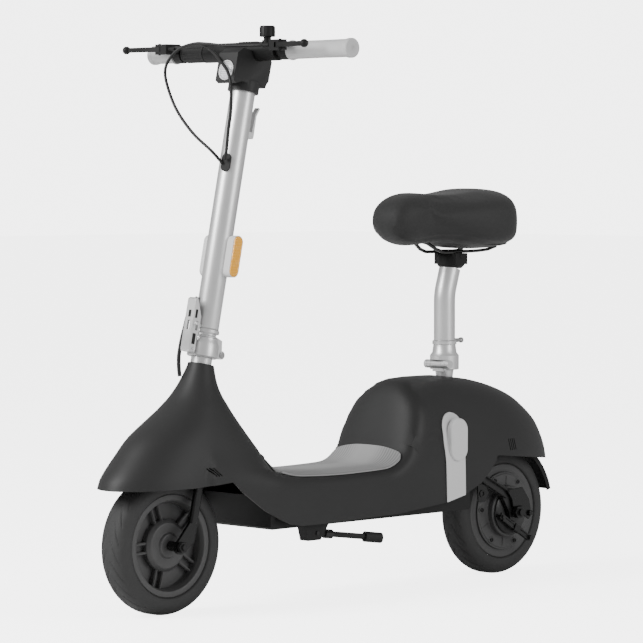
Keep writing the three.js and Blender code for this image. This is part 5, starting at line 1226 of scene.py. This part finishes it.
def motor_cover():
    left = [(27.3, 8), (27.3, 78), (30.5, 78), (31.6, 77), (31.6, 74.5), (33, 73.4), (33, 53),
            (35, 51), (45, 51), (47, 49), (47, 8)]
    boss = [(32.5, 7.4), (33.6, 7), (33.8, 5), (33.8, 0.02)]
    parts = [turned_mesh("left_cover", left, REAR_HUB, "X", 0.8)]
    for i in range(2 * SCREWS):
        turn = REAR_HUB @ about_x(math.pi * i / SCREWS + SCREW_TURN)
        if i % 2:
            parts.append(block((32, -1.2, 53), (34, 1.2, 70), turn, 0.4))
        else:
            spot = turn @ Matrix.Translation((0, 0, SCREW_RING / 1000))
            parts.append(turned_mesh("boss", boss, spot, "X", 0.3, 24))
    mesh = merged("motor_cover_left", parts)
    return link(mesh.name, mesh, wheel_finish, "rear_wheel", ["rear_cover_left"])


def motor_screws():
    turns = [2 * math.pi * i / SCREWS for i in range(SCREWS)]
    screws = [screw_mesh(33.6, turn + SCREW_TURN, 1) for turn in turns]
    screws += [screw_mesh(-33, turn + math.radians(10), -1) for turn in turns]
    mesh = merged("motor_screws", screws)
    return link("motor_screws", mesh, screw_finish, "rear_wheel", ())


motor = [motor_drum(), motor_cover(), motor_screws()]
print("rear motor", [len(piece.data.polygons) for piece in motor], "faces")

# %% [markdown]
# Small steel plates carry the rear axle at the left: a folded channel from the frame, a bracket
# with a round hole, a plate with two nuts, and a brake arm made of two rails with a clamp. Flat
# plates are outlines seen from the side, given a thickness and broken edges. Two more dark plates
# close the view through the front vents as painted shade behind the slits, and a dark sickle beside
# the rear hub is painted shade on the side wall of the motor cover's boss.

# %% Rear brackets and shade plates


def slab(outline, near, far, edge=0.6):
    return plate(outline, near, far, UPRIGHT, edge)


def bar_outline(start, end, half, shift=0.0):
    """The outline of a straight bar between two places, or of one beside it."""
    a, b = np.array(start, float), np.array(end, float)
    side = np.array([a[1] - b[1], b[0] - a[0]]) / np.linalg.norm(b - a)
    edges = shift + half, shift - half
    return [tuple(a + side * edge) for edge in edges] + [tuple(b + side * edge) for edge in edges[::-1]]


def crescent(centre, radius, depth, first, last, count=28):
    """A sickle: an arc outside, and a deeper one inside."""
    outer, inner = [], []
    for i in range(count + 1):
        turn = math.radians(first + (last - first) * i / count)
        thin = radius - 1.5 - depth * math.sin(math.pi * i / count)
        outer.append((centre[0] + radius * math.cos(turn), centre[1] + radius * math.sin(turn)))
        inner.append((centre[0] + thin * math.cos(turn), centre[1] + thin * math.sin(turn)))
    return outer + inner[::-1]


def rear_brackets_and_shade_plates():
    arm = ((796, 200), (868, 163))
    vents = [(28, 250), (64, 250), (64, 276), (28, 276)]
    parts = [slab(bar_outline(*arm, 8), 59, 61.5), slab(bar_outline(*arm, 1.4, 7), 61, 68),
             slab(bar_outline(*arm, 1.4, -7), 61, 68),
             slab([(782, 188), (804, 190), (815, 170), (805, 153), (784, 153)], 60, 63),
             slab([(863, 172.6), (878, 153), (881, 138), (928, 110), (938, 118), (930, 150),
                   (910, 176)], 64.5, 68, 1.0),
             # a dark sickle that stands for the painted shade on the side wall of the motor cover's
             # boss
             slab(crescent((WHEELBASE, AXLE_HEIGHT), 45, 17, 110, 310), 47.2, 50.5, 0.4)]
    hole = [(62.6, 4.6), (64.6, 4.6), (64.6, 7.4), (62.6, 7.4), (62.6, 4.6)]
    nut = [(67, 0.02), (67, 6.2), (72.5, 6.2), (73.4, 5.2), (73.4, 0.02)]
    for profile, y, z, sides in ((hole, 795, 170, 24), (nut, 902, 133.5, 6), (nut, 930, 122.5, 6)):
        spot = Matrix.Translation(place(0, y, z))
        parts.append(turned_mesh("ring", profile, spot, "X", 0.3, sides))
    # dark plates behind the front vents, painted shade that closes the view through the slits
    parts += [slab(vents, side * 72, side * 74) for side in (-1, 1)]
    mesh = merged("rear_brackets_and_shade_plates", parts)
    link("rear_brackets_and_shade_plates", mesh, fork_finish, "base", ())


def rear_brake_rails():
    rail = ((852, 118), (930, 72))
    parts = [slab(bar_outline(*rail, 1.6, shift), 63, 69.5, 0.4) for shift in (-4.2, 4.2)]
    parts.append(slab(bar_outline((884, 99), (900, 89.6), 7.5), 62, 71, 1.0))
    mesh = merged("rear_brake_rails", parts)
    link("rear_brake_rails", mesh, fork_finish, "rear_brake", ())


rear_brackets_and_shade_plates()
rear_brake_rails()
print("rear brackets fitted")

# %% [markdown]
# The stem and the seat post are the brightest pieces, so their outlines have to be truly round.
# The stem is turned. The seat post is a tube whose rings follow its bend back to the saddle. The
# amber reflector on the stem's left is a stack of outlines, like the pads of the trims. Thin dark
# plates paint the shade in the hollows of the latch lever.

# %% Stem and seat post


def stem():
    profile = [(397.6, 20.8), (397.6, 23), (857.8, 23), (857.8, 20.8), (397.6, 20.8)]
    mesh = turned_mesh("stem_tube_round", profile, STEER, "Z", 0.5, 96)
    return link("stem_tube_round", mesh, silver_finish, "stem", ["stem_tube"])


POST_FOOT, POST_BEND, POST_TOP, POST_TOP_BACK = 473.4, 560.4, 614.0, 768.0


def post_mesh(name, radius, wall):
    """A tube, outside and inside, whose rings lean with its bend."""
    run, rise = POST_TOP_BACK - POST_BACK, POST_TOP - POST_BEND
    lean = math.atan2(run, rise * 0.82)
    stops = [(0, POST_FOOT, 0), (0, POST_FOOT + 1, 0), (0, POST_BEND - 40, 0), (0, POST_BEND - 12, 0),
             (0.04, POST_BEND, lean * 0.35), (0.16, POST_BEND + rise * 0.2, lean * 0.8),
             (0.36, POST_BEND + rise * 0.4, lean), (0.68, POST_BEND + rise * 0.7, lean),
             (1.0, POST_TOP, lean)]
    fine = smooth_line([Vector(stop) for stop in stops], 8)
    rings = []
    sides = 72
    for width, line in ((radius, fine), (radius - wall, fine[::-1])):
        for along, z, tilt in line:
            rings += [place(width * c, POST_BACK + run * along + width * s * math.cos(tilt),
                            z - width * s * math.sin(tilt)) for c, s in circle(sides)]
    faces = grid_faces(2 * len(fine), sides, wrap_rows=True, wrap_columns=True)
    return outward(mesh_of(name, rings, faces))


def amber_lens():
    """The left reflector: a prism plate whose raised rim nearly covers its pale frame."""
    stack = [(38.5, 1.3), (41.2, 1.3), (42.2, 2.0), (42.4, 2.8), (41.8, 3.8), (41.8, 6.5)]
    mesh = oval("reflector_amber", stack, (9, 535), 12, 27, STEER)
    link(mesh.name, mesh, amber_finish, "stem", ["reflector_lens_left"])


def latch_window_shade():
    """Dark plates, painted shade in the hollows of the cheeks and the face of the latch lever."""
    foot, wide = 349, 11
    parts = [block((-3.4, -46.5, foot + 63), (3.4, -45.6, foot + 76), STEER, 0.3)]
    for x in (-wide - 0.3, wide - 0.3):
        parts.append(block((x, -41.5, foot + 14), (x + 0.6, -33.5, foot + 34), STEER, 0.2))
        parts.append(block((x, -42, foot + 62), (x + 0.6, -36.5, foot + 78), STEER, 0.2))
    link("latch_window_shade", merged("latch_window_shade", parts), dark_finish, "latch", ())


amber_lens()
latch_window_shade()
stem_round = stem()
post_round = link("seat_post_bent", post_mesh("seat_post_bent", 21, 2.5), silver_finish, "seat",
                  ["seat_post"])
print("stem and post", len(stem_round.data.polygons), len(post_round.data.polygons))

# %% [markdown]
# Grips and cables are the last round pieces. The grips have end rings and a shallow waist. The
# cables are swept along the same routes as in the model, finely enough for their bends. The
# harness crosses the fold joint; it stands in the scene on its own and rides on no piece.

# %% Grips


def grip(name, start, waist, sign, node):
    profile = [(start, 11.4), (start, 18.5), (start + 4, 18.5), (start + 6, 16.6), (waist, 16.2),
               (256, 16.5), (258, 18), (266, 18), (268, 16.5), (268, 0.02)]
    mesh = turned_mesh(name, [(sign * x, radius) for x, radius in profile], BAR, "X", 0.9, 80)
    link(name, mesh, grip_finish, "stem", [node])


grip("grip_left_ringed", 111, 190, 1, "grip_left")
grip("grip_right_ringed", 200, 235, -1, "grip_right")
print("grips fitted")

# %% Cables
LEFT_CABLE = [(75, 187, 1037), (55, 188, 1035), (-19, 180, 1036.5), (-59, 172, 1040.5),
              (-87, 166, 1041.5), (-120, 160, 1034), (-139, 154, 1019), (-149, 148, 996),
              (-140, 144, 966), (-109, 140, 918.5), (-62.5, 138, 875), (-14, 139, 842.5),
              (4, 149.5, 820)]
RIGHT_CABLE = [(-163.7, 187, 1037), (-138, 188, 1037), (-89, 182, 1040.5), (-52, 174, 1029),
               (-9.5, 160, 1006), (23, 147, 985), (38, 140, 958.6), (40, 138, 916.5),
               (31, 140, 877.5), (18, 147, 840), (10.5, 150, 827)]
HARNESS = [(-9, 100.1, 574.2), (-14.5, 91.5, 557), (-18.5, 84.5, 542), (-18.5, 77, 521),
           (-18.5, 69, 498), (-18.5, 63, 474), (-18.5, 61.5, 461), (-18, 61.5, 444), (-17, 62.5, 430)]
CABLE_RADIUS, HARNESS_RADIUS = 2.9, 3.7
for node, route in (("brake_cable_left", LEFT_CABLE), ("brake_cable_right", RIGHT_CABLE)):
    mesh = swept(node + "_sheath", route, CABLE_RADIUS)
    link(mesh.name, mesh, cable_finish, "stem", [node])
harness = stood("harness_sheath", swept("harness_sheath", HARNESS, HARNESS_RADIUS))
coated(harness, cable_finish)
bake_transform(harness)
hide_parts("harness_cable")
print("cables laid")

# %% [markdown]
# The saddle is foam under a stretched cover: a narrow rounded nose, a wide tail, a shallow bowl
# between, and side walls that fall steeply from a soft ridge. Sections across it are lofted from
# nose to tail. A short cloth simulation with inner pressure then makes the cover swell and
# draw in as a stuffed skin does, and its move is kept small.

# %% Saddle sections
# Along the saddle, half width, lower edge and top, as shares of its sizes
SADDLE = [(0.004, 0.16, 0.4, 0.54), (0.02, 0.3, 0.32, 0.66), (0.055, 0.39, 0.22, 0.775),
          (0.11, 0.45, 0.145, 0.86), (0.18, 0.49, 0.115, 0.91), (0.26, 0.53, 0.13, 0.915),
          (0.35, 0.62, 0.165, 0.9), (0.45, 0.75, 0.16, 0.9), (0.55, 0.87, 0.12, 0.915),
          (0.65, 0.955, 0.075, 0.945), (0.74, 0.995, 0.05, 0.98), (0.82, 1, 0.045, 0.995),
          (0.89, 0.955, 0.065, 0.985), (0.945, 0.84, 0.12, 0.93), (0.98, 0.66, 0.22, 0.83),
          (0.997, 0.4, 0.38, 0.68)]
SADDLE_FRONT, SADDLE_LENGTH, SADDLE_HALF = 577.0, 302.0, 112.0
SADDLE_FOOT, SADDLE_TOP, WELT_RISE, WELT_HALF, WELT_DEPTH = 650.0, 770.0, 9.0, 4.0, 0.0011


def saddle_ring(row, count):
    along, width, low, high = row
    y = SADDLE_FRONT + SADDLE_LENGTH * along
    height = SADDLE_TOP - SADDLE_FOOT
    foot, top = SADDLE_FOOT + height * low, SADDLE_FOOT + height * high
    middle = foot + (top - foot) * 0.42
    slim = 1 - float(eased(np.array((along - 0.2) / 0.2)))
    ring = []
    for c, s in circle(count):
        x = SADDLE_HALF * width * math.copysign(abs(c) ** 0.68, c)
        up = math.copysign(abs(s) ** (0.58 if s > 0 else 0.4), s)
        z = middle + (top - middle if up > 0 else middle - foot) * up
        drawn = 1 - (0.07 + 0.25 * slim if up < 0 else 0.05) * up * up
        ring.append(place(x * drawn, y, z))
    return ring


def saddle_mesh(count=72):
    fine = smooth_line([Vector(row) for row in SADDLE], 6)
    rings = [saddle_ring(tuple(row), count) for row in fine]
    points = [spot for ring in rings for spot in ring]
    faces = grid_faces(len(rings), count, wrap_columns=True)
    for k in (0, len(rings) - 1):
        hub = len(points)
        points.append(sum(rings[k], Vector()) / count)
        faces += [(hub, k * count + i, k * count + (i + 1) % count) for i in range(count)]
    return outward(mesh_of("saddle_cover", points, faces))


saddle_shape = saddle_mesh()
print("saddle sections", len(saddle_shape.vertices), "points")

# %% [markdown]
# The cloth step needs an even net, so the shape is voxel remeshed first. Pressure pushes the
# cover outward, stiff threads hold it, and no point may move more than a few millimetres. The
# welt near the lower edge is pressed in afterwards, because a remesh would erase it.

# %% Saddle cushion


def swell(made, cap, frames=16):
    """Blows the cover up by a short cloth run. No point moves further than the cap."""
    start = [v.co.copy() for v in made.data.vertices]
    cloth = made.modifiers.new("cover", "CLOTH")
    cloth.settings.quality = 6
    cloth.settings.mass = 0.35
    cloth.settings.tension_stiffness = 28
    cloth.settings.compression_stiffness = 28
    cloth.settings.bending_stiffness = 4
    cloth.settings.use_pressure = True
    cloth.settings.uniform_pressure_force = 3.0
    cloth.settings.effector_weights.gravity = 0
    cloth.point_cache.frame_start = 1
    cloth.point_cache.frame_end = frames
    for step in range(1, frames + 1):
        bpy.context.scene.frame_set(step)
    graph = bpy.context.evaluated_depsgraph_get()
    moved = [v.co.copy() for v in made.evaluated_get(graph).data.vertices]
    made.modifiers.clear()
    bpy.context.scene.frame_set(1)
    for vertex, before, after in zip(made.data.vertices, start, moved):
        step = after - before
        if step.length > cap:
            step *= cap / step.length
        vertex.co = before + step


def relaxed(mesh, turns):
    shape = opened(mesh)
    for _ in range(turns):
        bmesh.ops.smooth_vert(shape, verts=shape.verts, factor=0.5, use_axis_x=True,
                              use_axis_y=True, use_axis_z=True)
    closed(shape, mesh)


def press_welt(mesh):
    """Presses a soft line into the sides, a little above the saddle's lower edge."""
    front, middle = [place(0, SADDLE_FRONT + SADDLE_LENGTH * share, 0) for share in (0, 0.5)]
    lows = [(row[0], row[2]) for row in SADDLE]
    for vertex in mesh.vertices:
        along = (vertex.co.y - front.y) * 1000 / SADDLE_LENGTH
        foot = SADDLE_FOOT + (SADDLE_TOP - SADDLE_FOOT) * float(follow(lows, np.array(along)))
        off = vertex.co.z * 1000 - (foot + WELT_RISE)
        if abs(off) < WELT_HALF and 0.02 < along < 0.985:
            aim = Vector((vertex.co.x - middle.x, (vertex.co.y - middle.y) * 0.4, 0))
            if aim.length > 1e-6:
                vertex.co -= aim.normalized() * WELT_DEPTH * (1 - (off / WELT_HALF) ** 2)


def saddle():
    made = stood("saddle_cover", saddle_shape)
    net = made.modifiers.new("net", "REMESH")
    net.mode = "VOXEL"
    net.voxel_size = 0.0045
    apply_all(made)
    relaxed(made.data, 2)
    swell(made, 0.0035)
    relaxed(made.data, 1)
    fine = made.modifiers.new("fine", "SUBSURF")
    fine.levels = fine.render_levels = 1
    apply_all(made)
    press_welt(made.data)
    coated(made, leather_finish)
    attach(made, "seat")
    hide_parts("saddle_cushion")
    return made


saddle_cover = saddle()
print("saddle", len(saddle_cover.data.polygons), "faces")

# %% [markdown]
# The other pieces of the model have the right shape already. Their faces are flat and their
# edges perfectly sharp, which no real casting is. Two modifiers mend both without touching the
# mesh: a small node group shades flat-looking curves smooth and keeps true edges, and a bevel
# breaks the edges by half a millimetre.

# %% Smooth the carried pieces


def soft_shading(degrees):
    """Welds split corners, drops stored normals and shades smooth below an angle."""
    group = bpy.data.node_groups.new("soft_shading_%d" % degrees, "GeometryNodeTree")
    group.interface.new_socket("Geometry", in_out="INPUT", socket_type="NodeSocketGeometry")
    group.interface.new_socket("Geometry", in_out="OUTPUT", socket_type="NodeSocketGeometry")
    made = {kind: group.nodes.new(kind) for kind in (
        "NodeGroupInput", "NodeGroupOutput", "GeometryNodeMergeByDistance",
        "GeometryNodeRemoveAttribute", "GeometryNodeInputMeshEdgeAngle", "FunctionNodeCompare")}
    faces = group.nodes.new("GeometryNodeSetShadeSmooth")
    edges = group.nodes.new("GeometryNodeSetShadeSmooth")
    edges.domain = "EDGE"
    faces.inputs["Shade Smooth"].default_value = True
    edges.inputs["Shade Smooth"].default_value = False
    merge = made["GeometryNodeMergeByDistance"]
    merge.inputs["Distance"].default_value = 0.00002
    drop = made["GeometryNodeRemoveAttribute"]
    drop.inputs["Name"].default_value = "custom_normal"
    compare = made["FunctionNodeCompare"]
    compare.operation = "GREATER_THAN"
    compare.inputs[1].default_value = math.radians(degrees)
    wire = group.links.new
    wire(made["NodeGroupInput"].outputs[0], merge.inputs["Geometry"])
    wire(merge.outputs[0], drop.inputs["Geometry"])
    wire(drop.outputs[0], faces.inputs["Geometry"])
    wire(faces.outputs[0], edges.inputs["Geometry"])
    wire(made["GeometryNodeInputMeshEdgeAngle"].outputs["Unsigned Angle"], compare.inputs[0])
    wire(compare.outputs[0], edges.inputs["Selection"])
    wire(edges.outputs[0], made["NodeGroupOutput"].inputs[0])
    return group


SOFT = soft_shading(34)
BROKEN_EDGE = 0.0005


def dress(name, material):
    """A carried piece gets its finish, smooth curves and broken edges."""
    piece = nodes[name]
    for slot in piece.material_slots:
        slot.link = "OBJECT"
        slot.material = material
    soft = piece.modifiers.new("soft_shading", "NODES")
    soft.node_group = SOFT
    edge = piece.modifiers.new("broken_edges", "BEVEL")
    edge.width = BROKEN_EDGE
    edge.segments = 2
    edge.limit_method = "ANGLE"
    edge.angle_limit = math.radians(SHARP)
    edge.harden_normals = True
    edge.use_clamp_overlap = True


CARRIED = (
    (dark_finish, ["belly_pan", "battery_pack", "rear_mudguard", "bar_cover", "lever_perch_left",
                   "lever_perch_right", "brake_lever_left", "brake_lever_right", "bell_cap",
                   "seat_clamp", "saddle_pan"]),
    (steel_finish, ["main_frame", "rear_brake_plate", "handlebar", "rear_brake_arm",
                    "saddle_rails", "kickstand_leg"]),
    (silver_finish, ["seat_hinge_base", "headset_upper", "fold_base", "fold_collar", "stem_hook",
                     "headlight_bezel", "latch_lever", "seat_pin", "seat_cup"]),
    (white_finish, ["reflector_frame_left", "reflector_frame_right", "reflector_lens_right"]),
    (soft_finish, ["cable_grommet", "throttle_sleeve", "kickstand_foot"]),
    (screw_finish, ["rear_axle", "front_axle"]), (bolt_finish, ["fold_pin", "seat_peg"]),
    (cast_finish, ["controller_box"]), (fork_finish, ["front_fork"]),
    (body_finish, ["head_housing"]), (clear_finish, ["headlight_lens"]),
    (glass_finish, ["display_glass"]))
for material, names in CARRIED:
    for name in names:
        dress(name, material)
print("carried pieces", sum(len(names) for material, names in CARRIED))

# %% [markdown]
# The set is plain: a pale floor that runs out of sight, a white sky for even light, one large
# soft lamp in front on the left, where the photograph's highlights come from, and a weaker one
# on the right.

# %% Floor and light
FLOOR_HALF = 30
corners = [(x * FLOOR_HALF, y * FLOOR_HALF, 0) for x, y in ((-1, -1), (1, -1), (1, 1), (-1, 1))]
floor = stood("floor", mesh_of("floor", corners, [(0, 1, 2, 3)]))
paper = Finish("studio_paper", Specular_IOR_Level=0.1)
paper.colour(paper.blend(paper.noise(1.5, 2), grey(248), grey(252)))
seen = paper.node("ShaderNodeLightPath", output="Is Camera Ray")
paper.feed(paper.shader.inputs["Emission Color"], paper.blend(seen, (0, 0, 0, 1), (1, 1, 1, 1)))
paper.shader.inputs["Emission Strength"].default_value = 4.0
paper.rough(0.92 + 0.05 * paper.noise(3))
floor.data.materials.append(paper.material)

world = bpy.data.worlds.new("sky")
bpy.context.scene.world = world
world.use_nodes = True
sky = world.node_tree
sky.nodes["Background"].inputs["Color"].default_value = (1, 1, 1, 1)
light_path = sky.nodes.new("ShaderNodeLightPath")
backdrop = sky.nodes.new("ShaderNodeMix")
backdrop.inputs["A"].default_value = 0.5
backdrop.inputs["B"].default_value = 4.8
sky.links.new(light_path.outputs["Is Camera Ray"], backdrop.inputs["Factor"])
sky.links.new(backdrop.outputs["Result"], sky.nodes["Background"].inputs["Strength"])


def soft_lamp(name, spot, target, size, power):
    data = bpy.data.lights.new(name, "AREA")
    data.shape = "RECTANGLE"
    data.size, data.size_y = size
    data.energy = power
    lamp = stood(name, data)
    lamp.location = spot
    lamp.rotation_mode = "QUATERNION"
    lamp.rotation_quaternion = (Vector(target) - Vector(spot)).to_track_quat("-Z", "Y")


soft_lamp("front_left", (-1.0, -3.2, 2.6), (0, 0, 0.5), (1.5, 2.2), 185)
soft_lamp("right_side", (3.2, 0.8, 1.6), (0, 0, 0.5), (1.4, 1.8), 52)
print("set ready")
